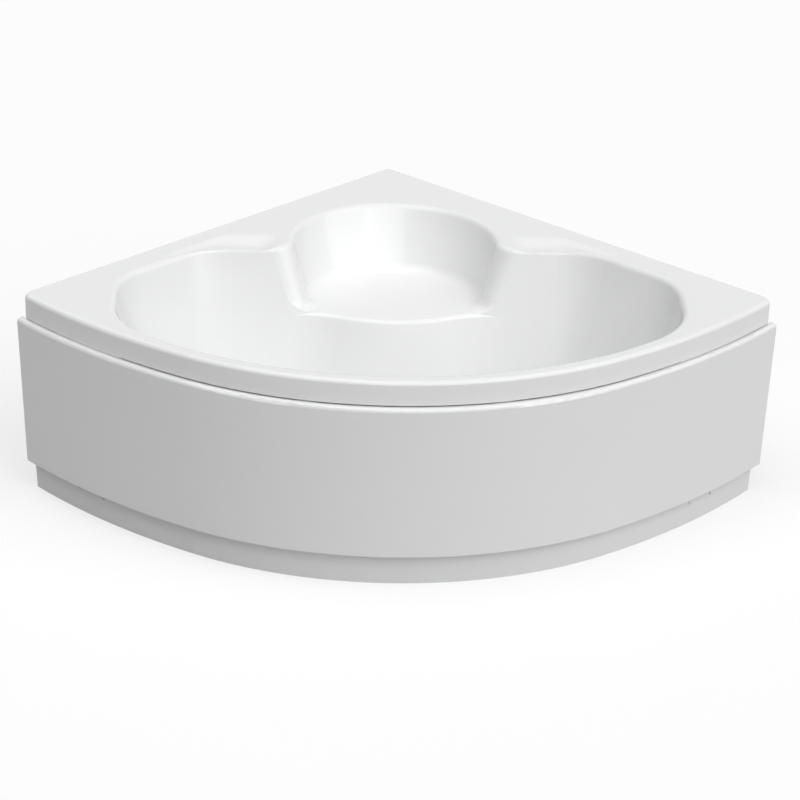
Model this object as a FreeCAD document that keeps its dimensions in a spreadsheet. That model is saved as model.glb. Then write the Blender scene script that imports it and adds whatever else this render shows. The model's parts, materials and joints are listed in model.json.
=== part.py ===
import FreeCAD, Part
import Sketcher
import math
import os
import re
from types import SimpleNamespace
from FreeCAD import Placement, Rotation, Vector

# Corner bathtub, 140 x 140 cm along the walls: an acrylic shell with a lounge basin across the
# front, a raised seat in the back corner and two lowered armrests, on a steel frame with six
# levelling legs, behind a bowed front panel. Plan places are measured from the point where the two
# walls meet, x to the right and y to the wall corner, heights from the floor.

doc = FreeCAD.newDocument("corner_bathtub")

# ---------------------------------------------------------------- driving dimensions
dimensions = {
    # outline and heights
    "wall_length": 1400,            # rim along each wall
    "front_distance": 1546,         # wall corner to the middle of the front
    "front_radius": 1010,           # middle arc of the front
    "front_half_angle": 33,         # half the turn of that arc
    "rim_height": 575,
    "skirt_depth": 63,
    "skin": 6,                      # acrylic with its laminate
    "end_corner_radius": 35,
    "back_corner_radius": 16,
    "skirt_edge_radius": 12,
    "basin_edge_radius": 18,
    # lounge basin
    "floor_height": 165,            # the basin's floor above the bathroom's
    "front_deck": 46,
    "basin_slope": 112,             # how far the walls come in from rim to floor
    "bow_step": 25,                 # the basin's front arc is this much tighter than the rim's
    "end_margin": 248,              # rim end to basin end, along the front
    "end_radius": 287,
    "corner_radius": 190,
    "back_line": 655,               # wall corner to the lounge's back edge
    "shoulder_radius": 180,
    "side_deck": 96,                # wall to the basin's slanted edge
    "floor_fillet": 70,
    # seat alcove
    "alcove_radius": 280,
    "alcove_centre": 590,
    "seat_depth": 170,
    "seat_radius": 236,
    "seat_centre": 632,
    "pillar_radius": 60,
    "pillar_foot_radius": 45,
    "seat_cove": 40,
    "nose_centre": 391,
    "nose_radius": 370,
    "nose_slope": 55,
    "nose_fillet": 25,
    "nose_foot_fillet": 50,
    # armrest ledges
    "ledge_depth": 14,
    "ledge_start": 316,             # off the middle plane
    "ledge_back": 548,              # wall corner to the ledge's back edge
    "ledge_margin": 58,             # wall to ledge
    "ledge_length": 372,            # along the wall, to where it runs out
    "ledge_round": 45,
    "ledge_cove": 12,
    # boards and battens
    "board_thickness": 16,
    "board_margin": 62,
    "seat_board_thickness": 12,
    "seat_board_margin": 36,
    "batten_width": 34,
    "batten_height": 18,
    "batten_length": 900,
    "batten_start": 260,
    "batten_gap": 14,
    # frame
    "rail_size": 30,
    "rail_wall": 2,
    "rail_offset": 230,
    "rail_front": 1450,
    "rail_back": 480,
    "cross_line": 1060,
    "rear_line": 600,
    "wing_end": 790,
    # legs
    "rod_diameter": 12,
    "rod_overrun": 33,
    "rod_chamfer": 1,
    "pad_diameter": 50,
    "pad_height": 22,
    "pad_rim": 5,
    "pad_neck_diameter": 24,
    "pad_floor": 6,
    "thread_clearance": 0.05,
    "hole_clearance": 0.75,
    "nut_across": 19,
    "nut_height": 10,
    "front_leg_line": 1420,
    "rear_leg_line": 510,
    "wing_leg_offset": 650,
    # front panel
    "panel_skin": 4,
    "panel_gap": 4,
    "lip_out": 15,
    "lip_radius": 10,
    "face_lean": 18.6,
    "foot_radius": 4,
    "plinth_height": 88,
    "plinth_step": 26.8,
    "plinth_lean": 5.2,
    "flange_end": 5,
    "wall_gap": 1,
    # panel fixings
    "bolt_offset": 733,             # off the middle plane, on the wing rails
    "bracket_half_angle": 1.9,      # round the side arc's centre
    "bracket_margin": 16,           # beyond the bolt
    "bracket_skin": 3,
    "bracket_bend": 5,
    "bracket_foot": 34,
    "seat_gap": 0.3,
    "screw_half_angle": 1.3,
    "screw_height": 64,
    "screw_diameter": 5,
    "screw_length": 16,
    "screw_head_diameter": 9,
    "screw_head_height": 2.2,
    "cap_diameter": 13,
    "cap_height": 4,
    "bolt_diameter": 8,
    "bolt_head_across": 13,
    "bolt_head_height": 5,
    "bolt_nut_height": 6,
    "bolt_overrun": 9,
    "clip_inner_angle": 14,
    "clip_outer_angle": 38,
    "clip_half_angle": 1.2,
    "clip_skin": 2,
    "clip_height": 44,
    "clip_hook": 12,
    "clip_bend": 0.5,
    # wall clips
    "clip_near": 350,
    "clip_far": 1050,
    "wall_clip_width": 40,
    "wall_clip_skin": 3,
    "wall_clip_drop": 50,
    "wall_clip_lip": 12,
    "wall_clip_bend": 4,
    "wall_clip_hole": 6,
    "wall_clip_hole_height": 20,
    # waste
    "drain_line": 1270,
    "drain_hole": 52,
    "flange_diameter": 76,
    "flange_thickness": 3,
    "flange_bevel": 1,
    "throat_diameter": 50,
    "throat_bore": 44,
    "throat_length": 37,
    "throat_seat": 4,
    "spider_height": 6,
    "spider_drop": 20,
    "spider_rib": 4,
    "spider_hub": 16,
    "spider_rib_count": 3,
    "gasket_thickness": 3,
    "waste_flange": 5,
    "waste_diameter": 58,
    "waste_length": 60,
    "board_hole": 92,
    "port_drop": 37,
    "port_reach": 42,
    "gland_diameter": 10,
    "cable_offset": 28,
    "trap_nut_diameter": 70,
    "trap_nut_height": 22,
    "trap_nut_rise": 1,
    "trap_diameter": 90,
    "trap_floor_gap": 22,
    "trap_skin": 3,
    "trap_shoulder": 8,
    "dip_length": 58,
    "outlet_diameter": 40,
    "outlet_height": 50,
    "outlet_reach": 180,
    "outlet_collar": 48,
    "outlet_collar_reach": 60,
    # plug
    "plug_diameter": 64,
    "plug_height": 5,
    "plug_round": 3,
    "plug_stem": 8,
    "plug_stem_length": 52,
    "seal_diameter": 43,
    "seal_height": 4,
    "plug_boss": 30,
    "plug_lip": 2,
    "plug_lip_height": 1.5,
    "running_clearance": 0.08,
    # overflow
    "overflow_drop": 75,
    "overflow_hole": 46,
    "overflow_flat": 86,
    "overflow_boss": 1.5,
    "overflow_flange": 70,
    "overflow_flange_thickness": 4,
    "overflow_cup": 54,
    "overflow_cup_depth": 38,
    "overflow_cup_wall": 3,
    "spigot_reach": 46,
    "spigot_line": 19,
    "hose_diameter": 34,
    "hose_bore": 26,
    "hose_bend": 80,                # length of the bend's tangents
    "hose_nut_diameter": 42,
    "hose_nut_length": 18,
    "plate_diameter": 76,
    "plate_thickness": 5,
    "plate_bevel": 2,
    "plate_hole": 8,
    "plate_hole_line": 15,
    "plate_hole_count": 6,
    "knob_diameter": 54,
    "knob_height": 17,
    "knob_skin": 3.5,
    "knob_gap": 3,
    "knob_bevel": 3,
    "knob_hub": 20,
    "knob_grip": 10,
    "knob_grip_depth": 1.5,
    "knob_grip_count": 6,
    "spindle_diameter": 8,
    "spindle_length": 21,
    "cable_diameter": 5,
}

sheet = doc.addObject("Spreadsheet::Sheet", "sizes")
for row, (name, value) in enumerate(dimensions.items(), start=1):
    sheet.set(f"A{row}", name)
    sheet.set(f"B{row}", str(value))
    sheet.setAlias(f"B{row}", name)
doc.recompute()

size = SimpleNamespace(**{name: float(sheet.get(name)) for name in dimensions})
rootHalf = math.sqrt(0.5)


def full(text):
    """An expression with each size's name turned into its cell."""
    return re.sub(r"[a-z][a-z_]+",
                  lambda found: "sizes." + found.group() if found.group() in dimensions else found.group(),
                  text)


def bind(item, prop, text):
    item.setExpression(prop, full(text))


def number(text):
    return float(sheet.evalExpression(full(text)))


# ---------------------------------------------------------------- places worked out from the sizes
basinDepth = "(rim_height - floor_height)"
floorTop = "floor_height"
floorUnder = f"({floorTop} - skin)"
railTop = f"({floorUnder} - board_thickness)"
railUnder = f"({railTop} - rail_size)"
seatUnder = "(rim_height - seat_depth - skin)"
panelTop = "(rim_height - skirt_depth - panel_gap)"
rodTop = f"({railTop} + rod_overrun)"
wasteTop = f"({floorUnder} - gasket_thickness)"
wasteEnd = f"({wasteTop} - waste_length)"
portHeight = f"({wasteTop} - port_drop)"
trapShoulder = f"({wasteEnd} - trap_nut_height)"
# the origin is under the middle of the outline's box
originShift = "((front_distance + lip_out + (sqrt(2) - 1) * back_corner_radius) / 2)"

nodes = {}


def keep(name, item):
    """Names a finished piece; its own place is set before this."""
    item.Label = name
    nodes[name] = item
    return item


def feature(name, shape):
    """A piece whose shape is worked out above, moved from the wall corner's frame to the part's."""
    item = doc.addObject("Part::Feature", name)
    item.Shape = shape
    item.Placement = Placement(Vector(0, number(originShift), 0), Rotation())
    return keep(name, item)


def place(item, x="0", y="0", z="0"):
    bind(item, "Placement.Base.x", x)
    bind(item, "Placement.Base.y", f"({y}) + {originShift}")
    bind(item, "Placement.Base.z", z)


# ---------------------------------------------------------------- drawing helpers
def mirrored(point):
    return Vector(-point.x, point.y, point.z)


def lifted(point, z):
    return Vector(point.x, point.y, z)


def arcAbout(centre, start, end):
    """The shorter arc about a centre."""
    bisector = ((start - centre) + (end - centre)).normalize()
    return Part.Arc(start, centre + bisector * (start - centre).Length, end).toShape()


def mirroredShape(shape):
    return shape.mirror(Vector(0, 0, 0), Vector(1, 0, 0))


sameSpot = 0.01                     # how exactly an edge is found by its place


def levelEdges(shape, z):
    """Edges that lie in one level."""
    return [edge for edge in shape.Edges
            if abs(edge.BoundBox.ZMin - z) < sameSpot and abs(edge.BoundBox.ZMax - z) < sameSpot]


def uprightEdges(shape):
    return [edge for edge in shape.Edges
            if edge.BoundBox.XLength < sameSpot and edge.BoundBox.YLength < sameSpot]


def tube(start, end, radius):
    axis = end - start
    return Part.makeCylinder(radius, axis.Length, start, axis)


def roundedCorner(corner, toward, away, radius):
    """Start, middle and end of the arc that rounds a corner between two directions."""
    angle = toward.getAngle(away)
    reach = radius / math.tan(angle / 2)
    bisector = (toward + away).normalize()
    centre = corner + bisector * (radius / math.sin(angle / 2))
    return corner + toward * reach, centre - bisector * radius, corner + away * reach


leastBend = 0.2


def stripSection(points, radii, thickness):
    """The section of a bent sheet: its outer line, its corners' radii there, and its thickness.
    The sheet lies to the left of the line, seen along it with y up."""
    def path(corners, bends):
        edges = []
        last = corners[0]
        for before, corner, after, radius in zip(corners, corners[1:], corners[2:], bends):
            toward = (before - corner).normalize()
            away = (after - corner).normalize()
            start, middle, end = roundedCorner(corner, toward, away, radius)
            edges.append(Part.makeLine(last, start))
            edges.append(Part.Arc(start, middle, end).toShape())
            last = end
        edges.append(Part.makeLine(last, corners[-1]))
        return edges

    across = []
    for a, b in zip(points, points[1:]):
        run = (b - a).normalize()
        across.append(Vector(-run.z, 0, run.x))
    inner = [points[0] + across[0] * thickness]
    innerRadii = []
    for corner, radius, first, second, after in zip(points[1:], radii, across, across[1:], points[2:]):
        mitre = (first + second).normalize()
        inner.append(corner + mitre * (thickness / mitre.dot(first)))
        insideBend = (after - corner).dot(first) > 0
        innerRadii.append(radius - thickness if insideBend else radius + thickness)
    inner.append(points[-1] + across[-1] * thickness)
    innerRadii = [max(radius, leastBend) for radius in innerRadii]
    edges = path(points, radii) + [Part.makeLine(points[-1], inner[-1])]
    edges += path(inner, innerRadii) + [Part.makeLine(inner[0], points[0])]
    return Part.Face(Part.Wire(Part.__sortEdges__(edges)))


# ---------------------------------------------------------------- outline of the rim
wallEnd = Vector(size.wall_length * rootHalf, -size.wall_length * rootHalf, 0)
halfTurn = math.radians(size.front_half_angle)
frontCentre = Vector(0, size.front_radius - size.front_distance, 0)
joinNormal = Vector(math.sin(halfTurn), -math.cos(halfTurn), 0)
joinPoint = frontCentre + joinNormal * size.front_radius
# the side arc starts tangent to the middle arc and ends at the wall
toWall = wallEnd - joinPoint
sideRadius = -toWall.dot(toWall) / (2 * toWall.dot(joinNormal))
sideCentre = joinPoint - joinNormal * sideRadius


def wallCrossing(radius, gap):
    """Where a circle about the side arc's centre comes to within a gap of the wall."""
    total = -gap / rootHalf
    b = -2 * sideCentre.x - 2 * (total - sideCentre.y)
    c = sideCentre.x ** 2 + (total - sideCentre.y) ** 2 - radius ** 2
    x = (-b + math.sqrt(b * b - 8 * c)) / 4
    return Vector(x, total - x, 0)


def rimFace(inset, z):
    """The rim's outline moved inwards, as a face."""
    corner = lifted(wallCrossing(sideRadius - inset, inset), z)
    join = lifted(frontCentre + joinNormal * (size.front_radius - inset), z)
    back = Vector(0, -inset / rootHalf, z)
    side = arcAbout(lifted(sideCentre, z), join, corner)
    otherSide = arcAbout(lifted(mirrored(sideCentre), z), mirrored(corner), mirrored(join))
    front = Part.Arc(mirrored(join), Vector(0, inset - size.front_distance, z), join).toShape()
    walls = [Part.makeLine(corner, back), Part.makeLine(back, mirrored(corner))]
    return Part.Face(Part.Wire([front, side] + walls + [otherSide]))


def rimBlock(inset, bottom, top):
    """The outline as a block with rounded corners and top edge."""
    block = rimFace(inset, bottom).extrude(Vector(0, 0, top - bottom))
    ends = [edge for edge in uprightEdges(block) if abs(edge.BoundBox.XMin) > wallEnd.x / 2]
    block = block.makeFillet(size.end_corner_radius - inset, ends)
    back = [edge for edge in uprightEdges(block) if abs(edge.BoundBox.XMin) < size.skin]
    block = block.makeFillet(size.back_corner_radius - inset, back)
    return block.makeFillet(size.skirt_edge_radius - inset, levelEdges(block, top))


# ---------------------------------------------------------------- basin
def loungeOutline(grow):
    """The lounge basin in plan at the rim: a bowed front, round ends, slanted sides beside the walls
    and a straight back between two shoulders. Each stretch is its start, its end and the centre of
    its arc, or none where it is straight."""
    front = basinFront - grow
    back = -size.back_line + grow
    halfLength = basinHalf + grow
    bowRadius = size.front_radius - size.bow_step + grow
    endRadius = size.end_radius + grow
    cornerRadius = size.corner_radius + grow
    shoulderRadius = size.shoulder_radius + grow
    slant = -(size.side_deck - grow) / rootHalf
    diagonal = Vector(rootHalf, rootHalf, 0)
    bow = Vector(0, front + bowRadius, 0)
    endX = halfLength - endRadius
    end = Vector(endX, bow.y - math.sqrt((bowRadius - endRadius) ** 2 - endX ** 2), 0)
    frontJoin = bow + (end - bow).normalize() * bowRadius
    endTop = Vector(halfLength, end.y, 0)
    corner = Vector(halfLength - cornerRadius, slant - cornerRadius / rootHalf - halfLength + cornerRadius, 0)
    cornerStart = Vector(halfLength, corner.y, 0)
    cornerEnd = corner + diagonal * cornerRadius
    shoulderY = back - shoulderRadius * (1 - rootHalf)
    shoulderStart = Vector(slant - shoulderY, shoulderY, 0)
    shoulder = shoulderStart - diagonal * shoulderRadius
    shoulderEnd = Vector(shoulder.x, back, 0)
    right = [(frontJoin, endTop, end), (endTop, cornerStart, None), (cornerStart, cornerEnd, corner),
             (cornerEnd, shoulderStart, None), (shoulderStart, shoulderEnd, shoulder)]
    left = [(mirrored(stop), mirrored(start), centre and mirrored(centre))
            for start, stop, centre in reversed(right)]
    front = (mirrored(frontJoin), frontJoin, bow)
    back = (shoulderEnd, mirrored(shoulderEnd), None)
    return [front] + right + [back] + left


def outwardAt(stretch, point):
    start, stop, centre = stretch
    if centre is None:
        run = (stop - start).normalize()
        return Vector(run.y, -run.x, 0)
    return (point - centre).normalize()


def leveledWire(outline, inset, z):
    """The outline moved inwards and to a height."""
    edges = []
    for stretch in outline:
        start, stop, centre = stretch
        a = lifted(start - outwardAt(stretch, start) * inset, z)
        b = lifted(stop - outwardAt(stretch, stop) * inset, z)
        edges.append(Part.makeLine(a, b) if centre is None else arcAbout(lifted(centre, z), a, b))
    return Part.Wire(edges)


def draftedSolid(outline, inset, bottom, top):
    """A solid whose walls all lean alike: cones over the arcs and planes over the straights."""
    faces = [Part.Face(leveledWire(outline, 0, top)), Part.Face(leveledWire(outline, inset, bottom))]
    for stretch in outline:
        start, stop, centre = stretch
        low = lifted(start - outwardAt(stretch, start) * inset, bottom)
        if centre is None:
            lowStop = lifted(stop - outwardAt(stretch, stop) * inset, bottom)
            high = [lifted(stop, top), lifted(start, top)]
            faces.append(Part.Face(Part.makePolygon([low, lowStop] + high + [low])))
        else:
            sweep = math.degrees((start - centre).getAngle(stop - centre))
            faces.append(Part.makeLine(low, lifted(start, top)).revolve(centre, Vector(0, 0, 1), sweep))
    skinShell = Part.makeShell(faces)
    skinShell.sewShape()
    # made a second time from its own shell, so that its faces point outwards
    return Part.Solid(Part.makeSolid(skinShell).Shells[0])


basinFront = size.front_deck - size.front_distance
basinHalf = wallEnd.x - size.end_margin
slopeRate = size.basin_slope / number(basinDepth)


def lounge(grow):
    """The lounge basin from rim to floor, its floor edge rounded."""
    depth = number(basinDepth) + grow
    bottom = size.rim_height - depth
    room = draftedSolid(loungeOutline(grow), depth * slopeRate, bottom, size.rim_height)
    return room.makeFillet(size.floor_fillet + grow, levelEdges(room, bottom))


def seatNose(grow):
    """The bulge under the seat: a cone with a rounded front edge that flares into the floor."""
    top = size.rim_height - size.seat_depth - grow
    bottom = size.floor_height - grow
    topRadius = size.nose_radius - grow
    rise = Vector(-size.nose_slope, 0, top - bottom).normalize()
    noseStart, noseMiddle, noseEnd = roundedCorner(
        Vector(topRadius, 0, top), Vector(-1, 0, 0), rise * -1, size.nose_fillet - grow)
    flareStart, flareMiddle, flareEnd = roundedCorner(
        Vector(topRadius + size.nose_slope, 0, bottom), rise, Vector(1, 0, 0), size.nose_foot_fillet - grow)
    below = bottom - size.skin
    section = [Part.makeLine(Vector(0, 0, top), noseStart),
               Part.Arc(noseStart, noseMiddle, noseEnd).toShape(),
               Part.makeLine(noseEnd, flareStart),
               Part.Arc(flareStart, flareMiddle, flareEnd).toShape(),
               Part.makeLine(flareEnd, Vector(flareEnd.x, 0, below)),
               Part.makeLine(Vector(flareEnd.x, 0, below), Vector(0, 0, below)),
               Part.makeLine(Vector(0, 0, below), Vector(0, 0, top))]
    nose = Part.Face(Part.Wire(section)).revolve(Vector(0, 0, 0), Vector(0, 0, 1), 360)
    nose.translate(Vector(0, -size.nose_centre, 0))
    return nose


def alcoveWire(z, centreY, radius, back, pillarRadius, grow):
    """One level of the seat alcove: a half circle to the wall corner, straight sides, and flared
    pillars that run tangent into the lounge's back."""
    radius, back, pillarRadius = radius + grow, back + grow, pillarRadius - grow
    reach = back - size.alcove_radius
    sideTop = Vector(radius, centreY, z)
    pillarTop = Vector(radius, back + pillarRadius, z)
    pillar = Vector(radius + pillarRadius, back + pillarRadius, z)
    pillarEnd = Vector(radius + pillarRadius, back, z)
    front = Vector(pillarEnd.x, reach, z)
    right = [Part.makeLine(sideTop, pillarTop), arcAbout(pillar, pillarTop, pillarEnd),
             Part.makeLine(pillarEnd, front)]
    left = [mirroredShape(edge) for edge in reversed(right)]
    back = Part.Arc(mirrored(sideTop), Vector(0, centreY + radius, z), sideTop).toShape()
    return Part.Wire([back] + right + [Part.makeLine(front, mirrored(front))] + left)


def alcove(grow):
    """The seat alcove from rim to seat, with a cove round the seat."""
    top, bottom = size.rim_height, size.rim_height - size.seat_depth - grow
    back = -size.back_line
    backLow = back - (top - bottom) * slopeRate
    recess = Part.makeLoft([
        alcoveWire(top, -size.alcove_centre, size.alcove_radius, back, size.pillar_radius, grow),
        alcoveWire(bottom, -size.seat_centre, size.seat_radius, backLow, size.pillar_foot_radius, grow)],
        True, True)
    covered = [edge for edge in levelEdges(recess, bottom)
               if edge.BoundBox.YMax > backLow + grow + size.skin and edge.BoundBox.YLength > sameSpot]
    return recess.makeFillet(size.seat_cove + grow, covered)


def basin(grow):
    """Everything the shell leaves open, or with the skin added all round it."""
    return lounge(grow).cut(seatNose(grow)).fuse(alcove(grow)).removeSplitter()


def armrest(grow):
    """A shallow tool with a rounded lower edge. It dips beside the alcove and runs out of the deck
    along the wall."""
    alongWall = Vector(rootHalf, -rootHalf, 0)
    fromWall = Vector(-rootHalf, -rootHalf, 0)
    start = Vector(size.ledge_start - grow, -size.ledge_back + grow, 0)
    wallLine = size.ledge_margin - grow
    end = alongWall * (size.ledge_length + start.dot(alongWall)) + fromWall * wallLine
    inner = end + fromWall * size.side_deck
    bend = Vector(-start.y - wallLine / rootHalf, start.y, 0)
    corners = [start, bend, end, inner, Vector(start.x, -size.back_line - size.ledge_round, 0), start]
    outline = Part.makePolygon([lifted(corner, size.rim_height + 2 * size.skin) for corner in corners])
    depth = size.ledge_depth + grow + 2 * size.skin
    tool = Part.Face(outline).extrude(Vector(0, 0, -depth))
    rounded = [edge for edge in uprightEdges(tool)
               if (Vector(edge.BoundBox.XMin, edge.BoundBox.YMin, 0) - bend).Length < size.skin]
    tool = tool.makeFillet(size.ledge_round + grow, rounded)
    tool = tool.makeFillet(size.ledge_cove + grow, levelEdges(tool, size.rim_height + 2 * size.skin - depth))
    tilt = math.degrees(math.atan2(size.ledge_depth, size.ledge_length))
    tool.rotate(lifted(start, size.rim_height), Vector(rootHalf, rootHalf, 0), -tilt)
    return tool


# ---------------------------------------------------------------- frame of the overflow and the drain
leanAngle = math.atan(slopeRate)
overflowY = f"(front_deck - front_distance + overflow_drop * basin_slope / {basinDepth})"
overflowZ = "(rim_height - overflow_drop)"
intoBasin = Vector(0, math.cos(leanAngle), math.sin(leanAngle))
downWall = Vector(0, math.sin(leanAngle), -math.cos(leanAngle))
overflowCentre = Vector(0, number(overflowY), number(overflowZ))
drain = Vector(0, -size.drain_line, number(floorTop))


def basinEdges(shell, z):
    """The basin's edge in one level, without the rim's outer one."""
    margin = 3 * size.skin
    reach = basinHalf + margin
    return [edge for edge in levelEdges(shell, z)
            if edge.BoundBox.XMin > -reach and edge.BoundBox.XMax < reach
            and edge.BoundBox.YMin > basinFront - margin and edge.BoundBox.YMax < -2 * size.skirt_depth]


def bathShell():
    top = size.rim_height
    under = top - size.skin
    rim = rimBlock(0, top - size.skirt_depth, top)
    room = rimBlock(size.skin, top - size.skirt_depth - size.skin, under)
    shell = rim.cut(room).fuse(basin(size.skin)).removeSplitter()
    shell = shell.makeFillet(size.basin_edge_radius - size.skin, basinEdges(shell, under))
    # the armrests' underside, kept below the deck's top face
    deckBox = Part.makeBox(2 * size.wall_length, 2 * size.wall_length, size.rim_height,
                           Vector(-size.wall_length, -2 * size.wall_length, -size.skin / 2))
    thickRest = armrest(size.skin).common(deckBox)
    shell = shell.fuse([thickRest, mirroredShape(thickRest)])
    boss = tube(overflowCentre - intoBasin * (size.skin + size.overflow_boss),
                overflowCentre - intoBasin * (size.skin / 2), size.overflow_flat / 2)
    shell = shell.fuse(boss)
    shell = shell.cut(basin(0))
    shell = shell.makeFillet(size.basin_edge_radius, basinEdges(shell, top))
    rest = armrest(0)
    flat = tube(overflowCentre, overflowCentre + intoBasin * size.overflow_flat, size.overflow_flat / 2)
    hole = tube(overflowCentre - intoBasin * size.overflow_flat, overflowCentre, size.overflow_hole / 2)
    recess = tube(drain - Vector(0, 0, size.flange_thickness), drain + Vector(0, 0, size.skin),
                  size.flange_diameter / 2 + size.seat_gap)
    drainHole = tube(drain - Vector(0, 0, 2 * size.skin), drain, size.drain_hole / 2)
    return shell.cut([rest, mirroredShape(rest), flat, hole, recess, drainHole])


feature("tub_shell", bathShell())


# ---------------------------------------------------------------- boards and battens
def baseBoard():
    top = number(floorUnder)
    outline = Part.Face(leveledWire(loungeOutline(size.skin), size.basin_slope + size.board_margin, top))
    board = outline.extrude(Vector(0, 0, -size.board_thickness))
    noseReach = size.nose_radius + size.nose_slope + size.board_margin
    nose = Part.makeCylinder(noseReach, 3 * size.board_thickness,
                             Vector(0, -size.nose_centre, top - 2 * size.board_thickness))
    waste = Part.makeCylinder(size.board_hole / 2, 3 * size.board_thickness,
                              Vector(0, -size.drain_line, top - 2 * size.board_thickness))
    return board.cut([nose, waste])


def seatBoard():
    """A half round board with a bowed front."""
    top = number(seatUnder)
    radius = size.seat_radius + size.skin - size.seat_board_margin
    back = Part.makeCylinder(radius, size.seat_board_thickness,
                             Vector(0, -size.seat_centre, top - size.seat_board_thickness))
    front = Part.makeBox(2 * radius, size.seat_centre, size.seat_board_thickness,
                         Vector(-radius, -2 * size.seat_centre, top - size.seat_board_thickness))
    bow = Part.makeCylinder(size.nose_radius - size.seat_board_margin, size.seat_board_thickness,
                            Vector(0, -size.nose_centre, top - size.seat_board_thickness))
    return back.fuse(front).common(bow).removeSplitter()


feature("base_board", baseBoard())
feature("seat_board", seatBoard())

for side, name in ((1, "rim_batten_right"), (-1, "rim_batten_left")):
    batten = doc.addObject("Part::Box", name)
    bind(batten, "Length", "batten_length")
    bind(batten, "Width", "batten_width")
    bind(batten, "Height", "batten_height")
    # each runs from the wall corner along its wall, and its width points to the front right
    batten.Placement = Placement(Vector(), Rotation(Vector(0, 0, 1), -45 if side > 0 else 225))
    fromWall = "(batten_gap + batten_width)" if side > 0 else "batten_gap"
    place(batten, f"{side} * (batten_start - {fromWall}) * sqrt(0.5)",
          f"-(batten_start + {fromWall}) * sqrt(0.5)", "rim_height - skin - batten_height")
    keep(name, batten)


# ---------------------------------------------------------------- steel frame
def originPlane(body, role):
    return next(plane for plane in body.Origin.OriginFeatures if plane.Role == role)


def sketchOn(body, role, name, offset="0"):
    sketch = body.newObject("Sketcher::SketchObject", name)
    sketch.AttachmentSupport = [(originPlane(body, role), "")]
    sketch.MapMode = "FlatFace"
    bind(sketch, "AttachmentOffset.Base.z", offset)
    return sketch


def fixCoordinate(sketch, kind, element, point, text):
    """Ties one coordinate of a point to the sketch's origin."""
    sketch.addConstraint(Sketcher.Constraint(kind, -1, 1, element, point, number(text)))
    bind(sketch, f"Constraints[{sketch.ConstraintCount - 1}]", text)


def drawOutline(sketch, corners):
    """A closed outline of straight lines, each corner tied by its two coordinates."""
    first = sketch.GeometryCount
    spots = [Vector(number(x), number(y), 0) for x, y in corners]
    for here, there in zip(spots, spots[1:] + spots[:1]):
        sketch.addGeometry(Part.LineSegment(here, there), False)
    last = first + len(corners) - 1
    for element, (x, y) in enumerate(corners, start=first):
        before = last if element == first else element - 1
        sketch.addConstraint(Sketcher.Constraint("Coincident", before, 2, element, 1))
        fixCoordinate(sketch, "DistanceX", element, 1, x)
        fixCoordinate(sketch, "DistanceY", element, 1, y)


def drawCircle(sketch, x, y, diameter):
    element = sketch.addGeometry(
        Part.Circle(Vector(number(x), number(y), 0), Vector(0, 0, 1), number(diameter) / 2), False)
    fixCoordinate(sketch, "DistanceX", element, 3, x)
    fixCoordinate(sketch, "DistanceY", element, 3, y)
    sketch.addConstraint(Sketcher.Constraint("Diameter", element, number(diameter)))
    bind(sketch, f"Constraints[{sketch.ConstraintCount - 1}]", diameter)


def newBody(name):
    body = doc.addObject("PartDesign::Body", name)
    return keep(name, body)


def addPad(body, sketch, length, reverse=False):
    pad = body.newObject("PartDesign::Pad", "Pad")
    pad.Profile = sketch
    bind(pad, "Length", length)
    pad.Reversed = reverse
    return pad


def addPocket(body, sketch, length, reverse=False):
    pocket = body.newObject("PartDesign::Pocket", "Pocket")
    pocket.Profile = sketch
    bind(pocket, "Length", length)
    pocket.Reversed = reverse
    return pocket


def cutThrough(body, sketch):
    """A pocket through everything, both ways from its sketch."""
    pocket = body.newObject("PartDesign::Pocket", "Pocket")
    pocket.Profile = sketch
    pocket.Type = "ThroughAll"
    pocket.Midplane = True
    return pocket


def turned(body, sketch):
    """A solid of revolution about the sketch's vertical axis."""
    revolution = body.newObject("PartDesign::Revolution", "Revolution")
    revolution.Profile = sketch
    revolution.ReferenceAxis = (sketch, ["V_Axis"])
    revolution.Angle = 360
    return revolution


def turnedCut(body, sketch):
    """A turned cut about the sketch's vertical axis."""
    groove = body.newObject("PartDesign::Groove", "Groove")
    groove.Profile = sketch
    groove.ReferenceAxis = (sketch, ["V_Axis"])
    groove.Angle = 360
    return groove


def repeatRound(body, original, count):
    """Copies of a feature round the body's own upright axis."""
    pattern = body.newObject("PartDesign::PolarPattern", "Pattern")
    pattern.Originals = [original]
    pattern.Axis = (next(axis for axis in body.Origin.OriginFeatures if axis.Role == "Z_Axis"), [""])
    pattern.Angle = 360
    bind(pattern, "Occurrences", count)
    body.Tip = pattern
    return pattern


def ring(name, outer, inner, height, bottom="0"):
    """A flat ring about the upright axis."""
    body = newBody(name)
    section = sketchOn(body, "XY_Plane", "Section", bottom)
    drawCircle(section, "0", "0", outer)
    drawCircle(section, "0", "0", inner)
    addPad(body, section, height)
    return body


def boxCorners(left, right, low, high):
    return [(left, low), (right, low), (right, high), (left, high)]


halfRail = "(rail_size / 2)"
halfBore = "(rail_size / 2 - rail_wall)"
rodHole = "rod_diameter + 2 * hole_clearance"
boltHole = "bolt_diameter + 2 * hole_clearance"


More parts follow.
